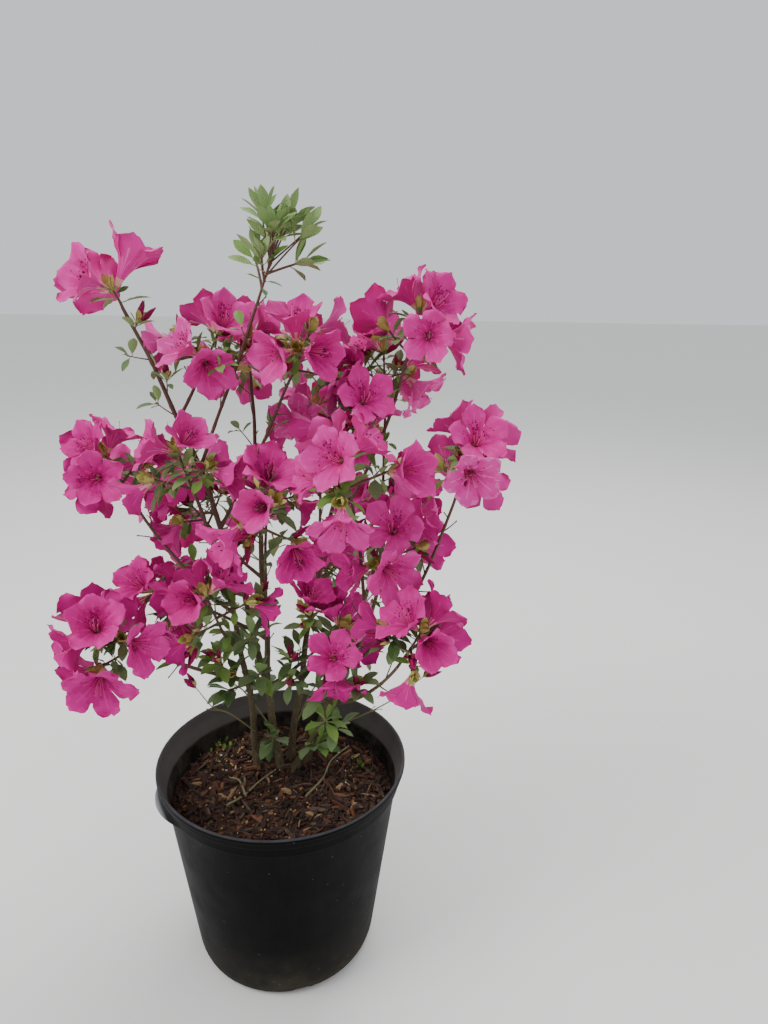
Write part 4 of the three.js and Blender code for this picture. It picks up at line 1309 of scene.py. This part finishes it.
def drain_cutters():
    """Cylinders for the drain holes in the floor, and rounded blocks for the notches at the foot."""
    parts, sides = [], 24
    turns = np.linspace(0, 2 * math.pi, sides, endpoint=False)
    for i in range(DRAIN["count"]):
        x, y, _ = at_bearing(360 * (i + 0.5) / DRAIN["count"], DRAIN["circle"])
        parts.append(tube(((x, y, -4), (x, y, 8)), DRAIN["radius"], sides))
    across, rise = (
        np.sign(wave) * np.abs(wave) ** 0.5 * reach
        for wave, reach in ((np.cos(turns), NOTCH["width"] / 2), (np.sin(turns), NOTCH["height"]))
    )
    for i in range(NOTCH["count"]):
        bearing = NOTCH["first"] + 360 * i / NOTCH["count"]
        angle = math.radians(bearing)
        out, side = at_bearing(bearing, 1), np.array((-math.sin(angle), math.cos(angle), 0))
        ring = across[:, None] * side + (rise[:, None] - 0.5) * UP
        ends = [ring + out * reach for reach in (POT["base"] - NOTCH["depth"] + 12, POT["foot"] + 8)]
        body = sheet(np.array(ends), np.zeros((2, sides + 1, 2)))
        caps = [fan(end, end.mean(0), step) for end, step in zip(ends, (-1, 1))]
        parts.append(merged([body, *caps]))
    return merged(parts)


def ground(x, y, relief):
    """The bark mix's height at a place: crumbly, heaped round each stem and lower at the wall."""
    drop = SOIL["edge_drop"] * float(smooth(SOIL["level"], SOIL["edge"], math.hypot(x, y)))
    spans = [(x - a) ** 2 + (y - b) ** 2 for a, b, _ in STEMS.values()]
    heap = sum(math.exp(-span / SOIL["heap_reach"] ** 2) for span in spans)
    fade, finer, octaves = 0.7, 2.1, 5
    crumble = noise.fractal(Vector((x, y, 0)) / SOIL["crumb"], fade, finer, octaves)
    return SOIL["top"] - 0.5 - drop + min(heap, 1.2) * SOIL["heap"] + relief * crumble


def soil_part(relief):
    """The bark mix as one lathed skin, a hair's breadth inside the pot, with its top crumbled."""
    gap, foot = POT["wall"] + CLEAR, POT["foot_rise"]
    edge = SOIL["top"] - SOIL["edge_drop"]
    sides = [(0, gap), (POT["base"] - CLEAR, gap), (wall_radius(foot) - gap, foot + CLEAR)]
    rings, turns = 46, 120
    top = [(reach, SOIL["top"]) for reach in np.linspace(wall_radius(edge) - gap, 0, rings)]

    def crumbled(radius, height, angles):
        height = height.copy()
        for row in range(len(sides), len(sides) + rings):
            for i, (reach, angle) in enumerate(zip(radius[row], angles[0])):
                height[row, i] = ground(reach * math.cos(angle), reach * math.sin(angle), relief)
        return radius, height

    return lathe(sides + top, turns, crumbled)


def chip_parts(count, relief):
    """Bark chips: flat six-cornered splinters, thrown on the mix at all angles."""
    rng = stream("chips")
    turns = even_turns(6)
    parts, side = [], np.arange(6)
    on = (side + 1) % 6
    lids = np.array(((0, 1, 2), (0, 2, 3), (0, 3, 5), (3, 4, 5)))
    walls = np.stack((side, on, on + 6, side, on + 6, side + 6), 1)
    faces = np.concatenate((lids[:, ::-1], lids + 6, walls.reshape(-1, 3)))
    for _ in range(count):
        long = mix(*CHIP["lengths"], rng.random() ** 2)
        wide = min(mix(*CHIP["widths"], rng.random() ** 1.5), long * 0.7)
        thick = rng.uniform(*CHIP["thicknesses"])
        ring = np.stack((np.cos(turns) * long / 2, np.sin(turns) * wide / 2, turns * 0), 1)
        ring[:, :2] *= rng.uniform(0.7, 1.15, (6, 2))
        lid = ring * rng.uniform(0.75, 0.98) + (0, 0, thick)
        corners = np.concatenate((ring, lid)) + rng.normal(0, thick * 0.12, (12, 3))
        corners[:, 2] += (corners[:, 0] / long) ** 2 * rng.uniform(-1.5, 2.5)
        steep = rng.random() < CHIP["steep_share"]
        tilt = rng.normal(0, math.radians(CHIP["steep" if steep else "flat"]))
        turn = Matrix.Rotation(rng.uniform(0, 2 * math.pi), 3, "Z") @ Matrix.Rotation(tilt, 3, "Y")
        turn = turn @ Matrix.Rotation(rng.normal(0, math.radians(CHIP["roll"])), 3, "X")
        reach = (SOIL["edge"] - long * 0.42) * math.sqrt(rng.random())
        x, y, _ = at_bearing(rng.uniform(0, 360), reach)
        z = ground(x, y, relief) + rng.uniform(-1.2, 1.6) + abs(math.sin(tilt)) * long * 0.22
        look = int(rng.choice(len(CHIP_TINTS), p=CHIP_SHARES))
        flat = corners[faces][..., :2]
        part = Part(corners, faces, flat, np.full(len(faces), look))
        parts.append(part.moved(frame_of(np.array(turn), (x, y, z))))
    return parts


@cache
def ball():
    """A twenty-faced ball of radius one."""
    mesh = bmesh.new()
    bmesh.ops.create_icosphere(mesh, subdivisions=1, radius=1)
    places = np.array([vertex.co for vertex in mesh.verts])
    faces = np.array([[vertex.index for vertex in face.verts] for face in mesh.faces])
    mesh.free()
    return Part(places, faces, np.zeros((len(faces), 3, 2)), np.zeros(len(faces), int))


def crumbs(name, kind, look, relief):
    """Beads or crumbs in heaps on the mix."""
    rng, parts = stream(name), []
    for x, y, spread, count in kind["heaps"]:
        for _ in range(count):
            a, b = rng.normal((x, y), spread / 2)
            if math.hypot(a, b) > SOIL["edge"] - 3:
                continue
            size = rng.uniform(*kind["sizes"])
            uneven = np.diag(rng.uniform(1 - kind["uneven"], 1, 3)) * size
            matrix = frame_of(uneven, (a, b, ground(a, b, relief) + 1.8))
            parts.append(ball().moved(matrix).dealt([look]))
    return parts


def sprig_parts(relief):
    """Moss and seedlings: small leaves that spread out from each of their places."""
    rng, parts = stream("moss"), []
    for x, y in MOSS:
        for k in range(SPRIG["count"]):
            a, b = rng.normal((x, y), SPRIG["spread"])
            lean = lean_frame(0, GOLDEN * k, rng.uniform(*SPRIG["leans"]), 0)
            height = ground(a, b, relief) + SPRIG["lift"]
            upright = frame_of(turn_from_up((0, 0.01, 1)), (a, b, height))
            leaf = leaf_part(LEAF_FORMS[0], rng.uniform(*SPRIG["bends"]))
            parts.append(leaf.moved(upright @ lean, rng.uniform(*SPRIG["sizes"])).dealt([0, 0, 0]))
    return parts


def fallen_parts(relief):
    """Fallen twigs that follow the mix over its chips."""
    parts = []
    for line in FALLEN:
        raised = [(x, y, ground(x, y, relief) + FALLEN_TWIG["lift"]) for x, y in line]
        points = through(raised, FALLEN_TWIG["steps"])
        radii = np.linspace(FALLEN_TWIG["foot"], FALLEN_TWIG["tip"], len(points))
        parts.append(tube(points, radii, FALLEN_TWIG["sides"]))
    return parts


# Bark, twigs, leaves and blossoms

def limb_part(limb, bark, index):
    """A stem or bough: lengthwise ridges, a swelling with a leaf scar every few centimetres, a slight
    sway between them, and a collar where a bough leaves its stem."""
    rng = stream("bark", index)
    length, sides = limb.curve.length, BARK["sides"]
    share = np.linspace(0, 1, max(10, round(length / (bark.ring_spacing / MM))))
    walked = (share * length)[:, None]
    turn = even_turns(sides)[None]
    phases = rng.uniform(0, 2 * math.pi, 6)
    sway = np.minimum(BARK["most_sway"], limb.radius(share) * 0.4) * smooth(0, 0.08, share)
    sway = (sway * smooth(1, 0.9, share))[:, None]
    lean = [np.sin(walked / span + phase) for span, phase in zip(BARK["sway_lengths"], phases)]
    lean = np.concatenate((*lean, walked * 0), 1)
    broad, narrow, fine = (height * np.sin(count * turn + phase + walked / span)
                           for (height, count, span), phase in zip(BARK["ridges"], phases[2:]))
    ridges = broad + narrow + fine * np.sin(walked / BARK["fading"] + phases[5])
    at = rng.uniform(*BARK["first_scar"])
    while at < length - 8:
        scar = 0.3 + 0.7 * np.clip(np.cos(turn - rng.uniform(0, 2 * math.pi)), 0, 1) ** 2
        ridges = ridges + BARK["scar"] * np.exp(-(((walked - at) / BARK["scar_length"]) ** 2)) * scar
        at += rng.uniform(*BARK["scar_gaps"])
    radii = limb.radius(share)[:, None] * (1 + ridges * bark.relief / 0.7)
    line = limb.curve.at(share) + lean * sway
    if limb.flare:
        line = np.concatenate((line[:1] - UP * BARK["buried"], line))
        radii = np.concatenate((radii[:1] * 1.25, radii))
    else:
        radii = radii * (1 + BARK["collar"] * np.exp(-((walked / (limb.foot * 3.2)) ** 2)))
    return tube(line, radii, sides)


def leaf_part(form, bend):
    """A leaf or bud scale up its own +Y axis, face to +Z: a stalk and a folded, drooping blade."""
    share, across = np.array(form["rows"])[:, None], np.array(form["columns"])[None]
    stalk, steps = form["stalk"], 40
    fine = np.linspace(0, 1, steps + 1)
    heading = np.radians(form["droop"] * bend * (fine**1.3) - form["droop"] * 0.25)
    step = (LEAF["length"] - stalk) / steps
    along, rise = stalk + summed(np.cos(heading[:-1]) * step), -summed(np.sin(heading[:-1]) * step)
    peak = math.log(0.5) / math.log(LEAF["widest"])
    half = form["width"] / 2 * np.sin(math.pi * np.clip(share**peak, 1e-4, 1)) ** form["taper"] + 0.12
    x = across * half
    fold = math.tan(math.radians(form["fold"]))
    wave = form["wave"] * np.sin(share * 11 + bend * 5) * across**2
    y = np.interp(share, fine, along) + x * 0
    z = np.interp(share, fine, rise) + np.abs(x) * fold + wave * across
    upper = np.stack((x, y, z), 2)
    thick = 0.34 * (1 - across**2) * np.sin(math.pi * share) + 0.02
    lower = upper - UP * thick[..., None]
    lower[:, len(across[0]) // 2, 2] -= 0.25 * (1 - share[:, 0])
    at = np.stack(np.broadcast_arrays(x, share * LEAF["length"]), 2)
    blade = [sheet(upper, at, 0, flip=True), sheet(lower, at, 1)]
    if not stalk:
        return merged(blade)
    line = np.array(((0, 0, 0), (0, stalk * 0.6, 0.2), (0, stalk + 2.5, -0.2)))
    return merged([*blade, tube(line, (0.75, 0.6, 0.4), 4, 2)])


class Petal:
    """One lobe of a blossom, as a surface over its length from 0 to 1 and its breadth from -1 to 1."""

    def __init__(self, form, index, rng):
        self.turn = 2 * math.pi * index / CONE["lobes"]
        self.ruffle = form["ruffle"]
        steps = 80
        self.steps = np.linspace(0, 1, steps + 1)
        spread = form["spread"] + rng.uniform(-1, 1) * PETAL["stray"]
        self.lean = np.radians(PETAL["lean"] + (spread - PETAL["lean"]) * self.steps ** form["bend"])
        step = PETAL["length"] * rng.uniform(*PETAL["sizes"]) / steps
        self.reach = PETAL["foot_radius"] + summed(np.sin(self.lean[:-1]) * step)
        self.rise = PETAL["foot"] + summed(np.cos(self.lean[:-1]) * step)
        self.cycles, self.phase = rng.uniform(*PETAL["cycles"], 2), rng.uniform(0, 2 * math.pi, 3)
        self.cup, self.skew = rng.uniform(*PETAL["cups"]), rng.uniform(*PETAL["skews"])

    def at(self, along, across, lift=0.0):
        """Places on the lobe, lifted off its middle surface by so much."""
        along, across = np.broadcast_arrays(along, across)
        lobe, blade = smooth(0.36, 0.62, along), smooth(0.42, 1.0, along)
        notched = PETAL["frill"] * np.sin(7 * across + self.phase[2]) * smooth(0.8, 1, along)
        drawn = along - PETAL["rounding"] * np.abs(across) ** 2.2 * smooth(0.55, 1, along)
        drawn = drawn + notched - PETAL["frill"]
        rows = (self.reach, self.rise, self.lean)
        reach, rise, lean = (np.interp(drawn, self.steps, row) for row in rows)
        half = np.interp(along, *zip(*PETAL["half_widths"]))
        half = half * (1 + 3 * PETAL["frill"] * np.sin(along * 43 + self.phase[0] + across) * lobe)
        turn = across * math.radians(180 / CONE["lobes"] + 1)
        beside = mix(reach * np.sin(turn), across * half + self.skew * reach * blade, lobe)
        reach = mix(reach * np.cos(turn), reach, lobe)
        cycles = np.where(across < 0, *self.cycles)
        phase = np.where(across < 0, *self.phase[:2])
        wave = np.sin(2 * math.pi * cycles * along + phase)
        lift = lift + blade * self.ruffle * np.abs(across) ** 1.5 * wave
        lift = lift + self.ruffle * 0.5 * smooth(0.78, 1, along) * np.sin(2.6 * across + self.phase[2])
        lift = lift + blade * (self.cup * across**2 + 0.9 * across)
        lift = lift - PETAL["crease"] * lobe * np.exp(-((across / 0.16) ** 2)) * (1 - 0.6 * along)
        reach, rise = reach - lift * np.cos(lean), rise + lift * np.sin(lean)
        s, c = math.sin(self.turn), math.cos(self.turn)
        return np.stack((s * reach + c * beside, rise, c * reach - s * beside), -1)


def blossom_part(form, index):
    """A blossom up its own +Y axis: five lobes fused into a funnel, spots on the first lobe and a few on
    its neighbours, and stamens."""
    rng = stream("blossom", index)
    along, across = np.array(PETAL["rows"])[:, None], np.array(PETAL["columns"])
    across = np.concatenate((-across[::-1], across))[None]
    middle, out = (along[1:] + along[:-1]) / 2, np.abs(across[:, 1:] + across[:, :-1]) / 2
    middle, out = np.broadcast_arrays(middle, out)
    streak = rng.uniform(-0.12, 0.12, middle.shape[1])
    looks = np.where(middle + streak < PAINT["inner_to"], LOOK["inner"], LOOK["blade"])
    looks = np.where(middle + streak < PAINT["throat_to"], LOOK["throat"], looks)
    pale = (out < 0.02) & (middle > 0.2) & (middle < 0.78) | (out > 0.86) & (middle < 0.46)
    looks = np.where(pale & (middle > 0.12), LOOK["rib"], looks)
    # Painted highlight: the lobes' outer edges and rims take a tint one step paler than the blade.
    edge = (middle + streak > PAINT["edge_from"]) & (out > PAINT["edge_out"])
    looks = np.where(edge | (middle > PAINT["rim_from"]), LOOK["edge"], looks)
    veined = (out < 0.02) & (middle < 0.66) | (np.abs(out - 0.445) < 0.02) & (middle < 0.46)
    behind = np.where(veined, LOOK["back_rib"], LOOK["back"])
    behind = np.where(middle + streak / 2 < PAINT["tube_to"], LOOK["tube"], behind)
    blotch_and_shade = (middle > PAINT["blotch_from"]) & (middle + streak < PAINT["blotch_to"])
    at = np.stack(np.broadcast_arrays(across * 12, along * PETAL["length"]), 2)
    depth = PETAL["thickness"] * (1 - across**4) * (1 - along**6)
    parts = []
    for k in range(CONE["lobes"]):
        petal = Petal(form, k, rng)
        # The first lobe's blotch: its own deeper colour, and painted shade in the lobe's inner hollow.
        face = np.where((k == 0) & (out > 0.05) & (out < 0.6) & blotch_and_shade, LOOK["blotch_and_shade"], looks)
        parts.append(sheet(petal.at(along, across), at, face, flip=True))
        parts.append(sheet(petal.at(along, across, -depth), at, behind))
        spots = SPOTS["counts"][k]
        a = np.sqrt(rng.uniform(SPOTS["from"] ** 2, SPOTS["to"] ** 2, spots))[:, None, None]
        c = rng.normal(0, 0.32, spots)[:, None, None]
        da, dc = (rng.uniform(*SPOTS[key], spots)[:, None, None] for key in ("halves", "half_breadths"))
        corner_a = a + da * np.array((-1, 1))[None, :, None] + np.zeros((1, 1, 2))
        corner_c = c + dc * np.array((-1, 1))[None, None] + np.zeros((1, 2, 1))
        for places in petal.at(corner_a, np.clip(corner_c, -0.9, 0.9), SPOTS["lift"]):
            parts.append(sheet(places, np.zeros((2, 2, 2)), LOOK["spot"], flip=True))
    parts += stamens(form, rng)
    stalk = np.array((0, 1.5, 3.5, 5.2, 7, 9.5))
    line = np.stack((stalk * 0, stalk, stalk * 0), 1)
    parts.append(tube(line, (0.8, 0.75, 0.8, 1.5, 2.25, 2.1), 7, LOOK["calyx"]))
    return merged(parts)


def stamens(form, rng):
    """Filaments that sag to the lower side and then lift their anthers, and one longer pistil."""
    parts = []
    for k in range(STAMEN["count"] + 1):
        pistil = k == STAMEN["count"]
        length = STAMEN["pistil"] if pistil else rng.uniform(*STAMEN["lengths"])
        angle = 2 * math.pi * (k + 0.4 * rng.random()) / STAMEN["count"]
        out = (0 if pistil else 1) * STAMEN["fan"] * form["open"]
        x, z = math.sin(angle), math.cos(angle)
        way = [(x * out * side, length * along, z * out * up + lift)
               for side, along, up, lift in STAMEN["way"]]
        line = through([(x * 0.8, 8, z * 0.8), *way], 2)
        radii = np.linspace(STAMEN["foot"], STAMEN["tip"], len(line))
        parts.append(tube(line, radii, STAMEN["sides"], LOOK["filament"]))
        turn = turn_from_up(unit(line[-1] - line[-2])) @ np.diag(STAMEN["anther"])
        end = ball().moved(frame_of(turn, line[-1]), STAMEN["stigma"] if pistil else 1)
        parts.append(end.dealt([LOOK["anther"]]))
    return parts


def bud_part(index):
    """A closed bud: its petals are rolled into a ridged, twisted spindle, on a small calyx."""
    rng = stream("bud", index)
    share, calyx, sides = np.linspace(0, 1, BUD["rows"]), BUD["calyx"], BUD["sides"]
    along, bow = mix(calyx, BUD["length"], share), np.sin(share * 2)
    line = np.stack((bow * rng.uniform(*BUD["bows"]), along, bow * 0.5), 1)
    full = 0.1 + 0.88 * share ** rng.uniform(*BUD["fullness"])
    swell = BUD["radius"] * np.sin(math.pi * full) ** 0.9
    turn = even_turns(sides)[None]
    twist = share[:, None] * rng.uniform(*BUD["twists"])
    radii = swell[:, None] * (1 + BUD["ridge"] * np.cos(5 * (turn - twist)))
    stripe = np.floor((turn - twist[1:]) / (math.pi / 5)).astype(int) % 2
    body = tube(line, radii, sides, stripe)
    stalk = [(0, height, 0) for height in (0, calyx * 0.6, calyx, calyx + 2.6)]
    return merged([body, tube(stalk, (0.8, 0.9, 1.9, 2.3), 7, 2)])


# What a user may change

class PotSettings(bpy.types.PropertyGroup):
    """The pot's plastic, the dirt on it, and the painted highlight on its ledges."""

    plastic: FloatVectorProperty(
        name="Plastic", description="Colour of the pot's plastic", subtype="COLOR", size=3,
        default=colour("#020203")[:3], min=0, max=1)
    # The ledges' dust is also their painted highlight: this sets both.
    dust: FloatProperty(
        name="Dust", description="How pale the dust on the ledges is", subtype="FACTOR",
        default=0.6, min=0, max=1)
    film: FloatProperty(
        name="Dirt film", description="How high the dried mud reaches up the wall", subtype="DISTANCE",
        unit="LENGTH", default=0.075, min=0, max=0.2)


class MixSettings(bpy.types.PropertyGroup):
    """The bark mix and its chips."""

    chips: IntProperty(
        name="Chips", description="How many bark chips lie on the mix", subtype="UNSIGNED",
        default=2300, min=1, max=6000)
    relief: FloatProperty(
        name="Relief", description="How far the mix rises and falls", subtype="DISTANCE", unit="LENGTH",
        default=0.003, min=0, max=0.008)


class BarkSettings(bpy.types.PropertyGroup):
    """The bark of the stems and boughs."""

    old: FloatVectorProperty(
        name="Old bark", description="Colour of the bark low on the stems", subtype="COLOR", size=3,
        default=colour("#463A28")[:3], min=0, max=1)
    young: FloatVectorProperty(
        name="Young bark", description="Colour of the bark high on the boughs", subtype="COLOR", size=3,
        default=colour("#4A2D24")[:3], min=0, max=1)
    relief: FloatProperty(
        name="Relief", description="How deep the ridges and fissures are", subtype="FACTOR",
        default=0.8, min=0, max=1)
    ring_spacing: FloatProperty(
        name="Ring spacing", description="How far apart a limb's rings of corners are",
        subtype="DISTANCE", unit="LENGTH", default=0.0027, min=0.001, max=0.02)


class StageSettings(bpy.types.PropertyGroup):
    """The floor, the lights and the camera."""

    floor: FloatVectorProperty(
        name="Floor", description="Colour of the studio floor", subtype="COLOR", size=3,
        default=colour("#EFEEEB")[:3], min=0, max=1)
    light: FloatProperty(
        name="Light", description="How strong the studio lights are beside their usual strength",
        subtype="FACTOR", default=1, min=0, max=4)
    lens: FloatProperty(
        name="Lens", description="Focal length of the camera", subtype="DISTANCE_CAMERA",
        unit="CAMERA", default=26, min=10, max=200)


class AzaleaSettings(bpy.types.PropertyGroup):
    """All the settings, by the piece or pieces that they change."""

    pot: PointerProperty(type=PotSettings)
    mix: PointerProperty(type=MixSettings)
    bark: PointerProperty(type=BarkSettings)
    stage: PointerProperty(type=StageSettings)


# The operators

class AZALEA_OT_stage(bpy.types.Operator):
    """Lays a plain pale floor, sets soft lights and stands the camera where the photograph was taken"""

    bl_idname = "azalea.stage"
    bl_label = "Stage"

    def execute(self, context):
        stage, scene = context.scene.azalea.stage, context.scene
        mesh = bpy.data.meshes.new("studio_floor")
        corners = ((-1, -1), (1, -1), (1, 1), (-1, 1))
        mesh.from_pydata([(x * FLOOR_HALF, y * FLOOR_HALF, 0) for x, y in corners], [], [(0, 1, 2, 3)])
        mesh.materials.append(studio_floor(stage))
        floor = bpy.data.objects.new("studio_floor", mesh)
        scene.collection.objects.link(floor)
        floor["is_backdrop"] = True
        for name, place, size, watts in STAGE_LIGHTS:
            light = bpy.data.lights.new(name, "AREA")
            light.energy, light.size = watts * stage.light, size
            lamp = bpy.data.objects.new(name, light)
            lamp.location = place
            aim = Vector(STAGE_AIM) - Vector(place)
            lamp.rotation_euler = aim.to_track_quat("-Z", "Y").to_euler()
            scene.collection.objects.link(lamp)
        scene.world = bpy.data.worlds.new("Studio air")
        scene.world.use_nodes = True
        air = scene.world.node_tree.nodes["Background"]
        air.inputs["Color"].default_value = colour("#E6E9EC")
        air.inputs["Strength"].default_value = stage.light
        lens = bpy.data.cameras.new("camera")
        lens.lens, lens.sensor_width = stage.lens, CAMERA["sensor"]
        lens.clip_end = SEEN_TO
        camera = bpy.data.objects.new("camera", lens)
        place = Matrix.Translation([c * MM for c in CAMERA["place"]])
        pitch = Matrix.Rotation(math.radians(90 + CAMERA["pitch"]), 4, "X")
        camera.matrix_world = place @ pitch @ Matrix.Rotation(math.radians(CAMERA["roll"]), 4, "Z")
        scene.collection.objects.link(camera)
        scene.camera = camera
        return {"FINISHED"}


class AZALEA_OT_pot(bpy.types.Operator):
    """Moulds the nursery pot, with its stepped lip, its grips, its drain holes and its notches"""

    bl_idname = "azalea.pot"
    bl_label = "Pot"

    def execute(self, context):
        pot = context.scene.azalea.pot
        looks = [plastic_outside(pot), plastic_inside()]
        made = piece("nursery_pot", pot_part(), looks, ["pot"])
        weld(made.data)
        cutter = piece("drain_cutters", drain_cutters(), [])
        weld(cutter.data)
        cut = made.modifiers.new("Drains", "BOOLEAN")
        cut.operation, cut.solver, cut.object = "DIFFERENCE", "EXACT", cutter
        graph = context.evaluated_depsgraph_get()
        drained = bpy.data.meshes.new_from_object(made.evaluated_get(graph))
        made.modifiers.clear()
        made.data = drained
        bpy.data.objects.remove(cutter)
        drained.set_sharp_from_angle(angle=math.radians(38))
        return {"FINISHED"}


class AZALEA_OT_mix(bpy.types.Operator):
    """Fills the pot with bark fines, and strews chips, feed beads, perlite, moss and twigs on them"""

    bl_idname = "azalea.mix"
    bl_label = "Bark mix"

    def execute(self, context):
        mix_settings = context.scene.azalea.mix
        relief = mix_settings.relief / MM
        fines = piece("bark_fines", soil_part(relief), [bark_fines()], ["soil"])
        weld(fines.data)
        chips = chip_parts(mix_settings.chips, relief)
        joined("bark_chips", chips, [shredded_bark(code) for code in CHIP_TINTS], flat=True)
        beads = crumbs("beads", PRILLS, 0, relief) + crumbs("perlite", PERLITE, 1, relief)
        looks = [mineral("Feed beads, resin coated", "#C9A266", 0.45, 1.5),
                 mineral("Perlite, expanded", "#E9E6DD", 0.9, 0.6)]
        joined("beads_and_perlite", beads, looks)
        moss = leaf_skin("Moss and seedlings", "#6E8B3A", 0.7)
        joined("moss_and_weeds", sprig_parts(relief), [moss])
        bleached = twig_bark("Fallen twigs, bleached", "#7F7650")
        joined("fallen_twigs", fallen_parts(relief), [bleached])
        return {"FINISHED"}


class AZALEA_OT_limbs(bpy.types.Operator):
    """Gives every stem and bough its ridged, scarred bark, each in the place of its own solid"""

    bl_idname = "azalea.limbs"
    bl_label = "Stems and boughs"

    def execute(self, context):
        bark = context.scene.azalea.bark
        look = living_bark(bark)
        for index, (name, limb) in enumerate(all_limbs().items()):
            piece(name + "_bark", limb_part(limb, bark, index), [look], [name])
        return {"FINISHED"}


class AZALEA_OT_twigs(bpy.types.Operator):
    """Grows the twigs that bear the blossoms and leaves, and the finer ones between them"""

    bl_idname = "azalea.twigs"
    bl_label = "Twigs"

    def execute(self, context):
        looks = [twig_bark("Twig bark, last year's", "#5E3B2E"),
                 twig_bark("Twig bark, this year's", "#76703F")]
        rods = [tube(line, radii, TWIG_SIDES, look) for line, radii, look in crown().rods]
        joined("twigs", rods, looks)
        return {"FINISHED"}


class AZALEA_OT_leaves(bpy.types.Operator):
    """Sets the leaves on the twigs, dark and broad low down, pale and narrow at the leafy top"""

    bl_idname = "azalea.leaves"
    bl_label = "Leaves"

    def execute(self, context):
        looks = [leaf_skin("Leaf face, " + name, LEAF_COLOURS[name], 0.46) for name in LEAF_TINTS]
        looks += [leaf_skin("Leaf back, downy", "#86A064", 0.7),
                  twig_bark("Leaf stalk, green", "#8A9A55")]
        back, stalk = len(LEAF_TINTS), len(LEAF_TINTS) + 1
        forms = [[leaf_part(form, bend) for bend in LEAF_BENDS] for form in LEAF_FORMS]
        parts = []
        for i, leaf in enumerate(crown().leaves):
            base = forms[leaf.form][i % len(LEAF_BENDS)]
            parts.append(base.moved(leaf.matrix, leaf.size).dealt([leaf.tint, back, stalk]))
        nodes = [shoot.node for shoot in shoots() if shoot.leafy]
        joined("leaves", parts, looks, nodes)
        return {"FINISHED"}


class AZALEA_OT_blossoms(bpy.types.Operator):
    """Opens the blossoms, one piece for each stem's trusses"""

    bl_idname = "azalea.blossoms"
    bl_label = "Blossoms"

    def execute(self, context):
        looks = [petal_skin(f"Petal, tint {i + 1}", code) for i, code in enumerate(PETAL_TINTS)]
        looks += [petal_skin("Petal tube, pale", TUBE_TINT),
                  petal_skin("Petal spots, crimson", SPOT_TINT),
                  petal_skin("Filaments, pink", "#E86FA6"), petal_skin("Anthers, ripe", "#3E1826", 0.8),
                  twig_bark("Calyx, green", "#8C9A4A")]
        looks += [petal_skin("Petal, faded red", "#D83A66", 0.75),
                  petal_skin("Petal, faded orange", "#E38C66", 0.8)]
        forms = [blossom_part(form, index) for index, form in enumerate(FORMS)]
        faded = min(crown().blossoms, key=lambda b: np.linalg.norm(crown().mouth(b) - FADED_PLACE))
        for stem in STEMS:
            parts = []
            for blossom in crown().blossoms:
                if blossom.stem == stem:
                    lobes = [max(blossom.tint + step, 0) for step in LOBE_STEPS]
                    deal = (*(FADED_LOBES if blossom is faded else lobes), *OFF_LOBES)
                    parts.append(forms[blossom.form].moved(blossom.matrix, blossom.size).dealt(deal))
            nodes = ["bloom_" + name for name, shoot in SHOOTS.items()
                     if shoot[0] == stem and name not in LEAFY_SHOOTS]
            joined("blossoms_" + stem, parts, looks, nodes)
        return {"FINISHED"}


class AZALEA_OT_buds(bpy.types.Operator):
    """Adds the closed buds between the blossoms, and the scales round the foot of each truss"""

    bl_idname = "azalea.buds"
    bl_label = "Buds and scales"

    def execute(self, context):
        looks = [petal_skin("Bud petals, rolled, tint " + str(i + 1), code, 0.5)
                 for i, code in enumerate(BUD_TINTS)]
        looks.append(twig_bark("Bud calyx, green", "#8C9A4A"))
        forms = [bud_part(index) for index in range(BUD["forms"])]
        parts = []
        for i, bud in enumerate(crown().buds):
            deal = (bud.tint, bud.tint + 1, len(BUD_TINTS))
            parts.append(forms[i % len(forms)].moved(bud.matrix, bud.size).dealt(deal))
        joined("buds", parts, looks)
        looks = [leaf_skin("Bud scale, yellow-green", "#C8C670", 0.6),
                 leaf_skin("Bud scale, drying", "#B29A58", 0.7)]
        forms = [leaf_part(SCALE_FORM, bend) for bend in SCALE_BENDS]
        parts = [forms[i % len(forms)].moved(scale.matrix, scale.size).dealt([scale.tint] * 2)
                 for i, scale in enumerate(crown().scales)]
        joined("bud_scales", parts, looks)
        return {"FINISHED"}


class AZALEA_PT_panel(bpy.types.Panel):
    """The settings, and a button for each operator, in the sidebar."""

    bl_idname = "AZALEA_PT_panel"
    bl_label = "Azalea"
    bl_space_type = "VIEW_3D"
    bl_region_type = "UI"
    bl_category = "Azalea"

    def draw(self, context):
        azalea = context.scene.azalea
        for group in (azalea.pot, azalea.mix, azalea.bark, azalea.stage):
            box = self.layout.box()
            for name in group.__annotations__:
                box.prop(group, name)
        for operator in OPERATORS:
            self.layout.operator(operator.bl_idname)


OPERATORS = (AZALEA_OT_stage, AZALEA_OT_pot, AZALEA_OT_mix, AZALEA_OT_limbs, AZALEA_OT_twigs,
             AZALEA_OT_leaves, AZALEA_OT_blossoms, AZALEA_OT_buds)
CLASSES = (PotSettings, MixSettings, BarkSettings, StageSettings, AzaleaSettings, *OPERATORS,
           AZALEA_PT_panel)


def register():
    for cls in CLASSES:
        bpy.utils.register_class(cls)
    bpy.types.Scene.azalea = PointerProperty(type=AzaleaSettings)


def unregister():
    del bpy.types.Scene.azalea
    for cls in reversed(CLASSES):
        bpy.utils.unregister_class(cls)


def main():
    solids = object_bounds()
    register()
    for operator in OPERATORS:
        group, name = operator.bl_idname.split(".")
        getattr(getattr(bpy.ops, group), name)()
    sizes = {"cad": solids, "scene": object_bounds()}
    listed = {key: [list(corner) for corner in corners] for key, corners in sizes.items()}


if __name__ == "__main__":
    main()
